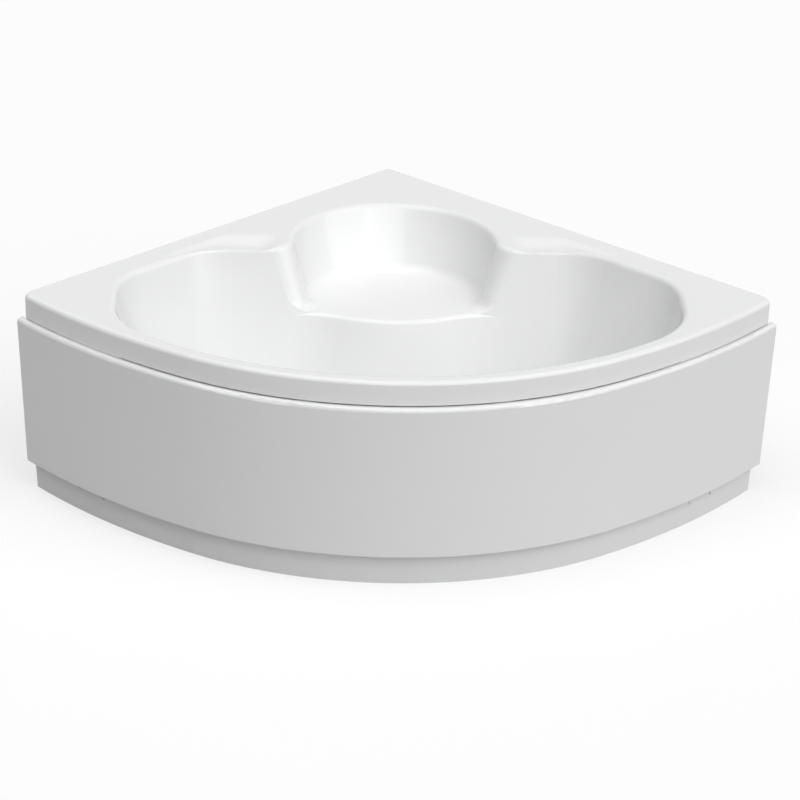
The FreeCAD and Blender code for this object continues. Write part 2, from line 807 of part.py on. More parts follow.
def rail(name, alongY, length, x, y, holes=()):
    """A square tube whose centre line starts at x, y and runs to the front or to the right. Each
    upright hole has its distance along the tube and its diameter."""
    body = newBody(name)
    section = sketchOn(body, "XZ_Plane" if alongY else "YZ_Plane", "Section")
    drawOutline(section, boxCorners(f"-{halfRail}", halfRail, f"-{halfRail}", halfRail))
    drawOutline(section, boxCorners(f"-{halfBore}", halfBore, f"-{halfBore}", halfBore))
    addPad(body, section, length)
    if holes:
        plan = sketchOn(body, "XY_Plane", "Holes")
        for along, diameter in holes:
            spot = ("0", f"-({along})") if alongY else (along, "0")
            drawCircle(plan, *spot, diameter)
        doc.recompute()
        cutThrough(body, plan)
    place(body, x, y, f"{railTop} - rail_size / 2")
    return body


for side, name in ((-1, "rail_long_left"), (1, "rail_long_right")):
    rail(name, True, "rail_front - rail_back", f"{side} * rail_offset", "-rail_back",
         (("rear_leg_line - rail_back", rodHole), ("front_leg_line - rail_back", rodHole)))
crossHalf = "(rail_offset - rail_size / 2)"
wingStart = "(rail_offset + rail_size / 2)"
rail("rail_cross", False, f"2 * {crossHalf}", f"-{crossHalf}", "-cross_line")
rail("rail_rear", False, f"2 * {crossHalf}", f"-{crossHalf}", "-rear_line")
rail("rail_wing_right", False, f"wing_end - {wingStart}", wingStart, "-cross_line",
     ((f"wing_leg_offset - {wingStart}", rodHole), (f"bolt_offset - {wingStart}", boltHole)))
rail("rail_wing_left", False, f"wing_end - {wingStart}", "-wing_end", "-cross_line",
     (("wing_end - wing_leg_offset", rodHole), ("wing_end - bolt_offset", boltHole)))

seatPost = newBody("seat_post")
postSection = sketchOn(seatPost, "XY_Plane", "Section")
drawOutline(postSection, boxCorners(f"-{halfRail}", halfRail, f"-{halfRail}", halfRail))
drawOutline(postSection, boxCorners(f"-{halfBore}", halfBore, f"-{halfBore}", halfBore))
addPad(seatPost, postSection, f"{seatUnder} - seat_board_thickness - {railTop}")
place(seatPost, "0", "-rear_line", railTop)


# ---------------------------------------------------------------- levelling legs
legPlaces = [("-rail_offset", "-front_leg_line"), ("rail_offset", "-front_leg_line"),
             ("-wing_leg_offset", "-cross_line"), ("wing_leg_offset", "-cross_line"),
             ("-rail_offset", "-rear_leg_line"), ("rail_offset", "-rear_leg_line")]


def legPad(name):
    body = newBody(name)
    profile = sketchOn(body, "XZ_Plane", "Profile")
    socket = "(rod_diameter / 2 + thread_clearance)"
    drawOutline(profile, [("0", "0"), ("pad_diameter / 2", "0"), ("pad_diameter / 2", "pad_rim"),
                          ("pad_neck_diameter / 2", "pad_rim + pad_floor"),
                          ("pad_neck_diameter / 2", "pad_height"), (socket, "pad_height"),
                          (socket, "pad_floor"), ("0", "pad_floor")])
    turned(body, profile)
    return body


def legRod(name):
    body = newBody(name)
    section = sketchOn(body, "XY_Plane", "Section")
    drawCircle(section, "0", "0", "rod_diameter")
    pad = addPad(body, section, f"{rodTop} - pad_floor")
    doc.recompute()
    chamfer = body.newObject("PartDesign::Chamfer", "Chamfer")
    rims = [f"Edge{i}" for i, edge in enumerate(pad.Shape.Edges, start=1)
            if edge.Curve.TypeId == "Part::GeomCircle"]
    chamfer.Base = (pad, rims)
    bind(chamfer, "Size", "rod_chamfer")
    return body


def hexagonNut(name, across, bore, height):
    """A hexagon with a round hole."""
    prism = doc.addObject("Part::Prism", name + "_prism")
    prism.Polygon = 6
    bind(prism, "Circumradius", f"({across}) / sqrt(3)")
    bind(prism, "Height", height)
    hole = doc.addObject("Part::Cylinder", name + "_hole")
    bind(hole, "Radius", f"({bore}) / 2")
    bind(hole, "Height", height)
    nut = doc.addObject("Part::Cut", name)
    nut.Base = prism
    nut.Tool = hole
    return nut


def group(name, members):
    """Identical pieces that share one node."""
    joined = doc.addObject("Part::Compound", name)
    joined.Links = members
    return keep(name, joined)


lowerNuts, upperNuts = [], []
for count, (x, y) in enumerate(legPlaces, start=1):
    place(legPad(f"leg_pad_{count}"), x, y)
    place(legRod(f"leg_rod_{count}"), x, y, "pad_floor")
    for nuts, level, bottom in ((lowerNuts, "lower", f"{railUnder} - nut_height"),
                                (upperNuts, "upper", railTop)):
        nut = hexagonNut(f"nut_{level}_{count}", "nut_across", "rod_diameter + 2 * thread_clearance",
                         "nut_height")
        place(nut, x, y, bottom)
        nuts.append(nut)
group("leg_nuts_lower", lowerNuts)
group("leg_nuts_upper", upperNuts)


# ---------------------------------------------------------------- front panel
def swept(section, centre, radius, start, stop):
    """A section, drawn as distance out from the rim's edge and height, carried round one arc."""
    face = section.copy()
    face.translate(Vector(radius, 0, 0))
    face.rotate(Vector(0, 0, 0), Vector(0, 0, 1), start - 90)
    face.translate(centre)
    return face.revolve(centre, Vector(0, 0, 1), stop - start)


def onSideArc(angle, out, z):
    """A point out from the rim's edge on the right side arc."""
    return sideCentre + outwardFrom(angle) * (sideRadius + out) + Vector(0, 0, z)


def outwardFrom(angle):
    return Vector(math.sin(math.radians(angle)), -math.cos(math.radians(angle)), 0)


plinthTop = size.plinth_height
lipTop = number(panelTop)
footOut = size.lip_out - size.face_lean
plinthOut = footOut - size.plinth_step
plinthLean = math.atan2(size.plinth_lean, plinthTop)
wallAngle = math.degrees(math.atan2(wallEnd.x - sideCentre.x, sideCentre.y - wallEnd.y))
pastWall = 3                        # degrees swept beyond the wall before the sheet is trimmed
boltPlace = Vector(size.bolt_offset, -size.cross_line, 0)
bracketAngle = math.degrees(math.atan2(boltPlace.x - sideCentre.x, sideCentre.y - boltPlace.y))


def plinthFace(z):
    """How far out the plinth's outer face is at a height."""
    return plinthOut - size.plinth_lean * (plinthTop - z) / plinthTop


screwSpots = [(onSideArc(bracketAngle + angle, plinthFace(size.screw_height), size.screw_height),
               outwardFrom(bracketAngle + angle) * math.cos(plinthLean) - Vector(0, 0, math.sin(plinthLean)))
              for angle in (-size.screw_half_angle, size.screw_half_angle)]


def screwHoles(radius):
    return [tube(spot - outward * size.plinth_step, spot + outward * size.plinth_step, radius)
            for spot, outward in screwSpots]


def frontPanel():
    """Lip flange, leaning face, step and plinth as one sheet, trimmed to the walls."""
    # run from the floor up, so that the sheet lies behind its visible side
    line = [Vector(plinthOut - size.plinth_lean, 0, 0), Vector(plinthOut, 0, plinthTop),
            Vector(footOut, 0, plinthTop), Vector(size.lip_out, 0, lipTop),
            Vector(-size.flange_end, 0, lipTop)]
    section = stripSection(line, [size.foot_radius, size.foot_radius, size.lip_radius], size.panel_skin)
    side = swept(section, sideCentre, sideRadius, size.front_half_angle, wallAngle + pastWall)
    middle = swept(section, frontCentre, size.front_radius, -size.front_half_angle, size.front_half_angle)
    panel = middle.fuse([side, mirroredShape(side)])
    far = 2 * size.wall_length
    gap = Vector(0, -size.wall_gap / rootHalf, 0)
    room = Part.Face(Part.makePolygon([gap, gap + Vector(far, -far, 0), gap + Vector(0, -2 * far, 0),
                                       gap + Vector(-far, -far, 0), gap]))
    panel = panel.common(room.extrude(Vector(0, 0, size.rim_height)))
    holes = screwHoles(size.screw_diameter / 2 + size.seat_gap)
    return panel.cut(holes + [mirroredShape(hole) for hole in holes])


feature("front_panel", frontPanel())


# ---------------------------------------------------------------- panel brackets, screws and clips
def panelBracket():
    """A leg behind the plinth, as steep as it is, and a tongue that lies on the wing rail."""
    top = number(railTop) + size.bracket_skin
    behind = size.panel_skin / math.cos(plinthLean) + size.seat_gap
    tongueEnd = (boltPlace - sideCentre).Length - size.bracket_margin - sideRadius
    line = [Vector(plinthFace(size.bracket_foot) - behind, 0, size.bracket_foot),
            Vector(plinthFace(top) - behind, 0, top), Vector(tongueEnd, 0, top)]
    section = stripSection(line, [size.bracket_bend], size.bracket_skin)
    bracket = swept(section, sideCentre, sideRadius, bracketAngle - size.bracket_half_angle,
                    bracketAngle + size.bracket_half_angle)
    boltHoleTool = tube(lifted(boltPlace, number(railUnder)), lifted(boltPlace, size.rim_height),
                        size.bolt_diameter / 2 + size.hole_clearance)
    return bracket.cut(screwHoles(size.screw_diameter / 2 + size.thread_clearance) + [boltHoleTool])


bracketRight = panelBracket()
feature("panel_bracket_right", bracketRight)
feature("panel_bracket_left", mirroredShape(bracketRight))

boltHeads, boltNuts = [], []
boltSeat = f"({railTop} + bracket_skin)"
for count, side in enumerate((-1, 1), start=1):
    head = doc.addObject("Part::Prism", f"bolt_head_{count}")
    head.Polygon = 6
    bind(head, "Circumradius", "bolt_head_across / sqrt(3)")
    bind(head, "Height", "bolt_head_height")
    place(head, f"{side} * bolt_offset", "-cross_line", boltSeat)
    shank = doc.addObject("Part::Cylinder", f"bolt_shank_{count}")
    bind(shank, "Radius", "bolt_diameter / 2")
    bind(shank, "Height", "bracket_skin + rail_size + bolt_overrun")
    place(shank, f"{side} * bolt_offset", "-cross_line", f"{railUnder} - bolt_overrun")
    bolt = doc.addObject("Part::MultiFuse", f"bolt_{count}")
    bolt.Shapes = [head, shank]
    boltHeads.append(bolt)
    nut = hexagonNut(f"bolt_nut_{count}", "bolt_head_across", "bolt_diameter + 2 * thread_clearance",
                     "bolt_nut_height")
    place(nut, f"{side} * bolt_offset", "-cross_line", f"{railUnder} - bolt_nut_height")
    boltNuts.append(nut)
group("bracket_bolts", boltHeads)
group("bracket_nuts", boltNuts)


def panelScrew(spot, outward):
    head = tube(spot, spot + outward * size.screw_head_height, size.screw_head_diameter / 2)
    return head.fuse(tube(spot - outward * size.screw_length, spot, size.screw_diameter / 2))


def screwCap(spot, outward):
    """A round cover over the screw's head."""
    cap = tube(spot, spot + outward * size.cap_height, size.cap_diameter / 2)
    rounding = size.cap_height / 4
    face = spot + outward * size.cap_height
    cap = cap.makeFillet(rounding, [edge for edge in cap.Edges
                                    if edge.Closed and (edge.CenterOfMass - face).Length < rounding])
    pocket = tube(spot, spot + outward * (size.screw_head_height + size.seat_gap),
                  size.screw_head_diameter / 2 + size.seat_gap)
    return cap.cut(pocket)


def onBothSides(name, shapes):
    feature(name, Part.makeCompound(shapes + [mirroredShape(shape) for shape in shapes]))


onBothSides("panel_screws", [panelScrew(spot, outward) for spot, outward in screwSpots])
onBothSides("panel_screw_caps", [screwCap(spot, outward) for spot, outward in screwSpots])


def panelClips():
    """Strips behind the skirt that hook under the panel's flange."""
    back = -size.skin - size.seat_gap
    hookTop = lipTop - size.panel_skin - size.seat_gap
    line = [Vector(back - size.clip_skin + size.clip_hook, 0, hookTop), Vector(back, 0, hookTop),
            Vector(back, 0, size.rim_height - size.skirt_depth + size.clip_height)]
    section = stripSection(line, [size.clip_bend], size.clip_skin)
    half = size.clip_half_angle
    return [swept(section, frontCentre, size.front_radius, size.clip_inner_angle - half,
                  size.clip_inner_angle + half),
            swept(section, sideCentre, sideRadius, size.clip_outer_angle - half,
                  size.clip_outer_angle + half)]


onBothSides("panel_clips", panelClips())


# ---------------------------------------------------------------- wall clips
def wallClip(along):
    """A bent plate under the skirt's edge on the right wall, at a distance from the wall corner."""
    seat = size.rim_height - size.skirt_depth - size.seat_gap
    behind = size.skin + size.seat_gap
    line = [Vector(behind, 0, seat + size.wall_clip_lip), Vector(behind, 0, seat), Vector(0, 0, seat),
            Vector(0, 0, seat - size.wall_clip_drop)]
    section = stripSection(line, [size.seat_gap, size.wall_clip_bend], size.wall_clip_skin)
    clip = section.extrude(Vector(0, size.wall_clip_width, 0))
    holeHeight = seat - size.wall_clip_drop + size.wall_clip_hole_height
    middle = Vector(0, size.wall_clip_width / 2, holeHeight)
    clip = clip.cut(tube(middle - Vector(size.skin, 0, 0), middle + Vector(size.skin, 0, 0),
                         size.wall_clip_hole / 2))
    # its own x points away from the wall and its own y along it
    clip.translate(Vector(0, along - size.wall_clip_width / 2, 0))
    clip.rotate(Vector(0, 0, 0), Vector(0, 0, 1), 225)
    return clip


onBothSides("wall_clips", [wallClip(size.clip_near), wallClip(size.clip_far)])


# ---------------------------------------------------------------- waste
def atDrain(body, z):
    place(body, "0", "-drain_line", z)
    return body


flangeBody = newBody("drain_flange")
flangeProfile = sketchOn(flangeBody, "XZ_Plane", "Profile")
drawOutline(flangeProfile, [
    ("throat_bore / 2 + throat_seat", "0"), ("flange_diameter / 2 - flange_bevel", "0"),
    ("flange_diameter / 2", "-flange_bevel"), ("flange_diameter / 2", "-flange_thickness"),
    ("throat_diameter / 2", "-flange_thickness"),
    ("throat_diameter / 2", "-flange_thickness - throat_length"),
    ("throat_bore / 2", "-flange_thickness - throat_length"), ("throat_bore / 2", "-throat_seat")])
turned(flangeBody, flangeProfile)
ribPlan = sketchOn(flangeBody, "XY_Plane", "Rib", "-spider_drop")
drawOutline(ribPlan, boxCorners("0", "(throat_bore + throat_diameter) / 4",
                                "-spider_rib / 2", "spider_rib / 2"))
rib = addPad(flangeBody, ribPlan, "spider_height")
doc.recompute()
repeatRound(flangeBody, rib, "spider_rib_count")
hubPlan = sketchOn(flangeBody, "XY_Plane", "Hub", "-spider_drop")
drawCircle(hubPlan, "0", "0", "spider_hub")
addPad(flangeBody, hubPlan, "spider_height")
stemPlan = sketchOn(flangeBody, "XY_Plane", "StemBore")
drawCircle(stemPlan, "0", "0", "plug_stem + 2 * running_clearance")
doc.recompute()
cutThrough(flangeBody, stemPlan)
atDrain(flangeBody, floorTop)

atDrain(ring("drain_gasket", "flange_diameter", "drain_hole", "gasket_thickness"), wasteTop)

wasteBody = newBody("waste_body")
wasteProfile = sketchOn(wasteBody, "XZ_Plane", "Profile")
drawOutline(wasteProfile, [
    ("0", "0"), ("flange_diameter / 2", "0"), ("flange_diameter / 2", "-waste_flange"),
    ("waste_diameter / 2", "-waste_flange"), ("waste_diameter / 2", "-waste_length"), ("0", "-waste_length")])
turned(wasteBody, wasteProfile)
portPlan = sketchOn(wasteBody, "XZ_Plane", "Port")
drawCircle(portPlan, "0", "-port_drop", "hose_diameter")
addPad(wasteBody, portPlan, "port_reach")
glandPlan = sketchOn(wasteBody, "XZ_Plane", "Gland")
drawCircle(glandPlan, "cable_offset", "-port_drop", "gland_diameter")
addPad(wasteBody, glandPlan, "port_reach")
# the throat stands on the ledge at the end of its socket
socketEnd = "-(throat_length - skin - gasket_thickness + flange_thickness)"
socketRadius = "throat_diameter / 2 + thread_clearance"
boreProfile = sketchOn(wasteBody, "XZ_Plane", "Bore")
drawOutline(boreProfile, [
    ("0", "0"), (socketRadius, "0"), (socketRadius, socketEnd), ("throat_bore / 2", socketEnd),
    ("throat_bore / 2", "-waste_length"), ("0", "-waste_length")])
doc.recompute()
turnedCut(wasteBody, boreProfile)
portBore = sketchOn(wasteBody, "XZ_Plane", "PortBore")
drawCircle(portBore, "0", "-port_drop", "hose_bore")
doc.recompute()
addPocket(wasteBody, portBore, "port_reach", True)
atDrain(wasteBody, wasteTop)

atDrain(ring("trap_nut", "trap_nut_diameter", "waste_diameter + 2 * thread_clearance", "trap_nut_height"),
        f"{trapShoulder} + trap_nut_rise")

trapBody = newBody("trap_body")
trapProfile = sketchOn(trapBody, "XZ_Plane", "Profile")
drawOutline(trapProfile, [
    ("0", "trap_floor_gap"), ("trap_diameter / 2", "trap_floor_gap"),
    ("trap_diameter / 2", f"{trapShoulder} - trap_shoulder"),
    ("trap_diameter / 2 - trap_shoulder", trapShoulder), ("waste_diameter / 2", trapShoulder),
    ("waste_diameter / 2", wasteEnd), ("0", wasteEnd)])
turned(trapBody, trapProfile)
outletPlan = sketchOn(trapBody, "XZ_Plane", "Outlet")
drawCircle(outletPlan, "0", "outlet_height", "outlet_diameter")
addPad(trapBody, outletPlan, "outlet_reach", True)
# the pipe pushed over the outlet stops against the collar
collarPlan = sketchOn(trapBody, "XZ_Plane", "Collar")
drawCircle(collarPlan, "0", "outlet_height", "outlet_collar")
addPad(trapBody, collarPlan, "outlet_collar_reach", True)
# the cup is open round the dip tube
trapInside = "trap_diameter / 2 - trap_skin"
trapRoof = f"{trapShoulder} - trap_skin"
trapHollow = sketchOn(trapBody, "XZ_Plane", "Hollow")
drawOutline(trapHollow, [
    ("0", wasteEnd), ("throat_bore / 2", wasteEnd), ("throat_bore / 2", f"{wasteEnd} - dip_length"),
    ("throat_diameter / 2", f"{wasteEnd} - dip_length"), ("throat_diameter / 2", trapRoof),
    (f"{trapInside} - trap_shoulder", trapRoof), (trapInside, f"{trapRoof} - trap_shoulder"),
    (trapInside, "trap_floor_gap + trap_skin"), ("0", "trap_floor_gap + trap_skin")])
doc.recompute()
turnedCut(trapBody, trapHollow)
outletBore = sketchOn(trapBody, "XZ_Plane", "OutletBore", f"-({trapInside} - trap_skin)")
drawCircle(outletBore, "0", "outlet_height", "outlet_diameter - 2 * trap_skin")
doc.recompute()
addPocket(trapBody, outletBore, "outlet_reach")
atDrain(trapBody, "0")

# ---------------------------------------------------------------- plug
plug = newBody("drain_plug")
plugProfile = sketchOn(plug, "XZ_Plane", "Profile")
drawOutline(plugProfile, [
    ("0", "plug_height"), ("plug_diameter / 2", "plug_height"), ("plug_diameter / 2", "0"),
    ("plug_boss / 2", "0"), ("plug_boss / 2", "-seal_height"),
    ("plug_boss / 2 + plug_lip", "-seal_height"),
    ("plug_boss / 2 + plug_lip", "-seal_height - plug_lip_height"),
    ("plug_stem / 2", "-seal_height - plug_lip_height"), ("plug_stem / 2", "-plug_stem_length"),
    ("0", "-plug_stem_length")])
plugTurned = turned(plug, plugProfile)
doc.recompute()
plugRound = plug.newObject("PartDesign::Fillet", "Round")
plugRound.Base = (plugTurned, [f"Edge{i}" for i, edge in enumerate(plugTurned.Shape.Edges, start=1)
                               if edge.Closed and edge.BoundBox.ZMin > size.plug_height - sameSpot])
bind(plugRound, "Radius", "plug_round")
plugSeat = f"{floorTop} + seat_gap"
atDrain(plug, plugSeat)
atDrain(ring("plug_seal", "seal_diameter", "plug_boss + 2 * thread_clearance", "seal_height"),
        f"{plugSeat} - seal_height")


# ---------------------------------------------------------------- overflow
def atOverflow(body):
    """Places a piece whose own z points into the basin and whose own y points down the wall."""
    body.Placement = Placement(Vector(), Rotation(Vector(1, 0, 0), math.degrees(leanAngle) - 90))
    place(body, "0", overflowY, overflowZ)
    return body


backFace = "(skin + overflow_boss)"
bodyFace = f"({backFace} + gasket_thickness)"
knobFoot = "(plate_thickness + knob_gap)"
knobTop = f"({knobFoot} + knob_height)"
hubFoot = "(plate_thickness + seat_gap)"

plate = newBody("overflow_plate")
platePlan = sketchOn(plate, "XY_Plane", "Section")
drawCircle(platePlan, "0", "0", "plate_diameter")
drawCircle(platePlan, "0", "0", "spindle_diameter + 2 * running_clearance")
plateDisc = addPad(plate, platePlan, "plate_thickness")
doc.recompute()
plateEdge = plate.newObject("PartDesign::Chamfer", "Bevel")
plateEdge.Base = (plateDisc, [f"Edge{i}" for i, edge in enumerate(plateDisc.Shape.Edges, start=1)
                              if edge.Closed and edge.BoundBox.ZMin > size.plate_thickness - sameSpot
                              and edge.BoundBox.XLength > size.plate_diameter / 2])
bind(plateEdge, "Size", "plate_bevel")
holePlan = sketchOn(plate, "XY_Plane", "WaterHole")
drawCircle(holePlan, "plate_hole_line", "0", "plate_hole")
doc.recompute()
waterHole = cutThrough(plate, holePlan)
doc.recompute()
repeatRound(plate, waterHole, "plate_hole_count")
atOverflow(plate)

knob = newBody("overflow_knob")
knobProfile = sketchOn(knob, "XZ_Plane", "Profile")
drawOutline(knobProfile, [
    ("0", knobTop), ("knob_diameter / 2 - knob_bevel", knobTop),
    ("knob_diameter / 2", f"{knobTop} - knob_bevel"),
    ("knob_diameter / 2", knobFoot), ("knob_diameter / 2 - knob_skin", knobFoot),
    ("knob_diameter / 2 - knob_skin", f"{knobTop} - knob_skin"), ("knob_hub / 2", f"{knobTop} - knob_skin"),
    ("knob_hub / 2", hubFoot), ("spindle_diameter / 2", hubFoot),
    ("spindle_diameter / 2", f"{hubFoot} - spindle_length"), ("0", f"{hubFoot} - spindle_length")])
turned(knob, knobProfile)
gripPlan = sketchOn(knob, "XY_Plane", "Grip")
drawCircle(gripPlan, "knob_diameter / 2 + knob_grip / 2 - knob_grip_depth", "0", "knob_grip")
doc.recompute()
grip = cutThrough(knob, gripPlan)
doc.recompute()
repeatRound(knob, grip, "knob_grip_count")
atOverflow(knob)

atOverflow(ring("overflow_gasket", "overflow_flange", "overflow_hole", "gasket_thickness", f"-{bodyFace}"))

overflowBody = newBody("overflow_body")
cupProfile = sketchOn(overflowBody, "XZ_Plane", "Profile")
drawOutline(cupProfile, [
    ("0", f"-{bodyFace}"), ("overflow_flange / 2", f"-{bodyFace}"),
    ("overflow_flange / 2", f"-{bodyFace} - overflow_flange_thickness"),
    ("overflow_cup / 2", f"-{bodyFace} - overflow_flange_thickness"),
    ("overflow_cup / 2", f"-{bodyFace} - overflow_cup_depth"), ("0", f"-{bodyFace} - overflow_cup_depth")])
turned(overflowBody, cupProfile)
spigotHeight = f"-{bodyFace} - spigot_line"
spigotPlan = sketchOn(overflowBody, "XZ_Plane", "Spigot")
drawCircle(spigotPlan, "0", spigotHeight, "hose_diameter")
addPad(overflowBody, spigotPlan, "spigot_reach", True)
cableGland = sketchOn(overflowBody, "XZ_Plane", "Gland")
drawCircle(cableGland, "cable_offset", spigotHeight, "gland_diameter")
addPad(overflowBody, cableGland, "spigot_reach", True)
cupHollow = sketchOn(overflowBody, "XZ_Plane", "Hollow")
drawOutline(cupHollow, [
    ("0", f"-{bodyFace}"), ("overflow_cup / 2 - overflow_cup_wall", f"-{bodyFace}"),
    ("overflow_cup / 2 - overflow_cup_wall", f"-{bodyFace} - overflow_cup_depth + overflow_cup_wall"),
    ("0", f"-{bodyFace} - overflow_cup_depth + overflow_cup_wall")])
doc.recompute()
turnedCut(overflowBody, cupHollow)
spigotBore = sketchOn(overflowBody, "XZ_Plane", "SpigotBore")
drawCircle(spigotBore, "0", spigotHeight, "hose_bore")
doc.recompute()
addPocket(overflowBody, spigotBore, "spigot_reach")
atOverflow(overflowBody)

# ---------------------------------------------------------------- hose and cable
hoseStart = overflowCentre + downWall * size.spigot_reach - intoBasin * (number(bodyFace) + size.spigot_line)
hoseEnd = Vector(0, -size.drain_line - size.port_reach, number(portHeight))
hoseCorner = hoseStart + downWall * ((hoseStart.z - hoseEnd.z) / math.cos(leanAngle))
hoseTurn = downWall.getAngle(hoseEnd - hoseCorner)
bendRadius = size.hose_bend / math.tan(hoseTurn / 2)


def bentRod(offset, radius):
    """A round bar down from the overflow, through one bend, to the waste."""
    shift = Vector(offset, 0, 0)
    bendStart = hoseCorner - downWall * size.hose_bend + shift
    bendEnd = hoseCorner + Vector(0, size.hose_bend, 0) + shift
    bendCentre = bendEnd + Vector(0, 0, bendRadius)
    disc = Part.Face(Part.Wire(Part.makeCircle(radius, bendEnd, Vector(0, 1, 0))))
    bend = disc.revolve(bendCentre, Vector(-1, 0, 0), math.degrees(hoseTurn))
    return tube(hoseStart + shift, bendStart, radius).fuse([bend, tube(bendEnd, hoseEnd + shift, radius)])


hose = bentRod(0, size.hose_diameter / 2).cut(bentRod(0, size.hose_bore / 2)).removeSplitter()
cable = bentRod(size.cable_offset, size.cable_diameter / 2).removeSplitter()
feature("overflow_hose", hose)
feature("control_cable", cable)
straight = (hoseCorner - hoseStart).Length + (hoseEnd - hoseCorner).Length - 2 * size.hose_bend
cordLength = straight + bendRadius * hoseTurn
hoseArea = math.pi * (size.hose_diameter ** 2 - size.hose_bore ** 2) / 4
cableArea = math.pi * size.cable_diameter ** 2 / 4
print(f"hose and cable: bend radius {bendRadius:.1f}, length {cordLength:.1f}")
print(f"hose volume {hose.Volume:.0f} of {hoseArea * cordLength:.0f}, "
      f"cable volume {cable.Volume:.0f} of {cableArea * cordLength:.0f}")


def hoseNut(joint, direction):
    """A union nut round the joint of a spigot and the hose."""
    start = joint - direction * (size.hose_nut_length / 2)
    end = joint + direction * (size.hose_nut_length / 2)
    return tube(start, end, size.hose_nut_diameter / 2).cut(
        tube(start, end, size.hose_diameter / 2 + size.thread_clearance))


feature("hose_nuts", Part.makeCompound([hoseNut(hoseStart, downWall), hoseNut(hoseEnd, Vector(0, 1, 0))]))

# ---------------------------------------------------------------- check and write
doc.recompute()
for item in doc.Objects:
    if "Invalid" in item.State or "Error" in item.State:
        raise RuntimeError(f"{item.Label} was not built")
for name, item in nodes.items():
    if item.Shape.isNull() or not item.Shape.isValid():
        raise RuntimeError(f"{name} has no sound shape")

os.makedirs("parts", exist_ok=True)
for name, item in nodes.items():
    item.Shape.exportStep(f"parts/{name}.step")
    print(f"{name}: {len(item.Shape.Solids)} solid(s), {item.Shape.Volume / 1000:.1f} cm3")
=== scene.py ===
import bpy
import json
import math
from mathutils import Matrix, Vector
from mathutils.bvhtree import BVHTree


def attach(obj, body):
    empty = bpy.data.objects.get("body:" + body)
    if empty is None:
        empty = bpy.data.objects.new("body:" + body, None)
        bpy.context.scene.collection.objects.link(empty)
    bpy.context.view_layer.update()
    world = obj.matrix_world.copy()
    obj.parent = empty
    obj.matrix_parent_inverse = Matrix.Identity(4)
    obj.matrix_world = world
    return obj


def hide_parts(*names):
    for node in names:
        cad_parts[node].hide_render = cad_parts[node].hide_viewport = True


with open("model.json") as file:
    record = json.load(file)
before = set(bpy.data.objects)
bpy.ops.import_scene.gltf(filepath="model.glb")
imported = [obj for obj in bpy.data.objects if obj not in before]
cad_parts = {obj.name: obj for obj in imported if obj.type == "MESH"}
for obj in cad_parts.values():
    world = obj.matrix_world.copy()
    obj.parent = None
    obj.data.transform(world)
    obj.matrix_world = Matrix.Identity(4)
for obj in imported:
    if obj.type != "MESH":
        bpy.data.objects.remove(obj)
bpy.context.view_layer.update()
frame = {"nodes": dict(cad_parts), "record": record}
nodes = frame["nodes"]
bpy.ops.object.select_all(action="DESELECT")
print("frame loaded,", len(nodes), "nodes")


# shader maths: each operation on a wire adds its Math node
class Wire:
    def __init__(self, graph, socket):
        self.graph = graph
        self.socket = socket

    def joined(self, operation, other=0.0):
        return self.graph.node("ShaderNodeMath", {"operation": operation}, {0: self, 1: other})

    def __add__(self, other):
        return self.joined("ADD", other)

    def __sub__(self, other):
        return self.joined("SUBTRACT", other)

    def __mul__(self, other):
        return self.joined("MULTIPLY", other)

    def __truediv__(self, other):
        return self.joined("DIVIDE", other)

    def above(self, limit):
        return self.joined("GREATER_THAN", limit)

    def below(self, limit):
        return self.joined("LESS_THAN", limit)

    def larger(self, other):
        return self.joined("MAXIMUM", other)

    def size(self):
        return self.joined("ABSOLUTE")

    def wave(self):
        return self.joined("SINE")


# a tree of shader nodes; every node comes from the method node
class Graph:
    def __init__(self, tree):
        self.tree = tree

    def node(self, kind, settings=None, inputs=None, output=0):
        item = self.tree.nodes.new(kind)
        for key, value in (settings or {}).items():
            if key == "stops":
                self.fillRamp(item.color_ramp, value)
            else:
                setattr(item, key, value)
        for key, value in (inputs or {}).items():
            if isinstance(value, Wire):
                self.tree.links.new(value.socket, item.inputs[key])
            else:
                item.inputs[key].default_value = value
        return Wire(self, item.outputs[output])

    def fillRamp(self, ramp, stops):
        while len(ramp.elements) < len(stops):
            ramp.elements.new(0.5)
        for element, (position, color) in zip(ramp.elements, stops):
            element.position = position
            element.color = color

    def parts(self, vector):
        return [self.node("ShaderNodeSeparateXYZ", {}, {0: vector}, output=axis) for axis in range(3)]


# one finish is one material, mapped by object coordinates
class Finish(Graph):
    def __init__(self, name, **constants):
        self.material = bpy.data.materials.new(name)
        self.material.use_nodes = True
        super().__init__(self.material.node_tree)
        self.shader = self.tree.nodes["Principled BSDF"]
        for label, value in constants.items():
            self.shader.inputs[label.replace("_", " ")].default_value = value
        self.place = self.node("ShaderNodeTexCoord", output="Object")

    def feed(self, label, wire):
        self.tree.links.new(wire.socket, self.shader.inputs[label])

    def stretched(self, scale, turn):
        return self.node("ShaderNodeMapping", {}, {"Vector": self.place, "Scale": scale, "Rotation": turn})

    def noise(self, scale, detail=3, roughness=0.5, place=None):
        return self.node("ShaderNodeTexNoise", {}, {"Vector": place or self.place, "Scale": scale,
                                                    "Detail": detail, "Roughness": roughness})

    def cells(self, scale, place=None):
        # one random level for each cell
        color = self.node("ShaderNodeTexVoronoi", {}, {"Vector": place or self.place, "Scale": scale},
                          output=1)
        return self.parts(color)[0]

    def ramp(self, amount, stops):
        return self.node("ShaderNodeValToRGB", {"stops": stops}, {0: amount})

    def between(self, amount, first, second):
        return self.node("ShaderNodeMix", {"data_type": "RGBA"}, {0: amount, 6: first, 7: second}, output=2)

    def bump(self, height, strength, distance):
        self.feed("Normal", self.node("ShaderNodeBump", {}, {"Height": height, "Strength": strength,
                                                             "Distance": distance}))


def gray(level):
    return (level, level, level, 1)


print("finishes")
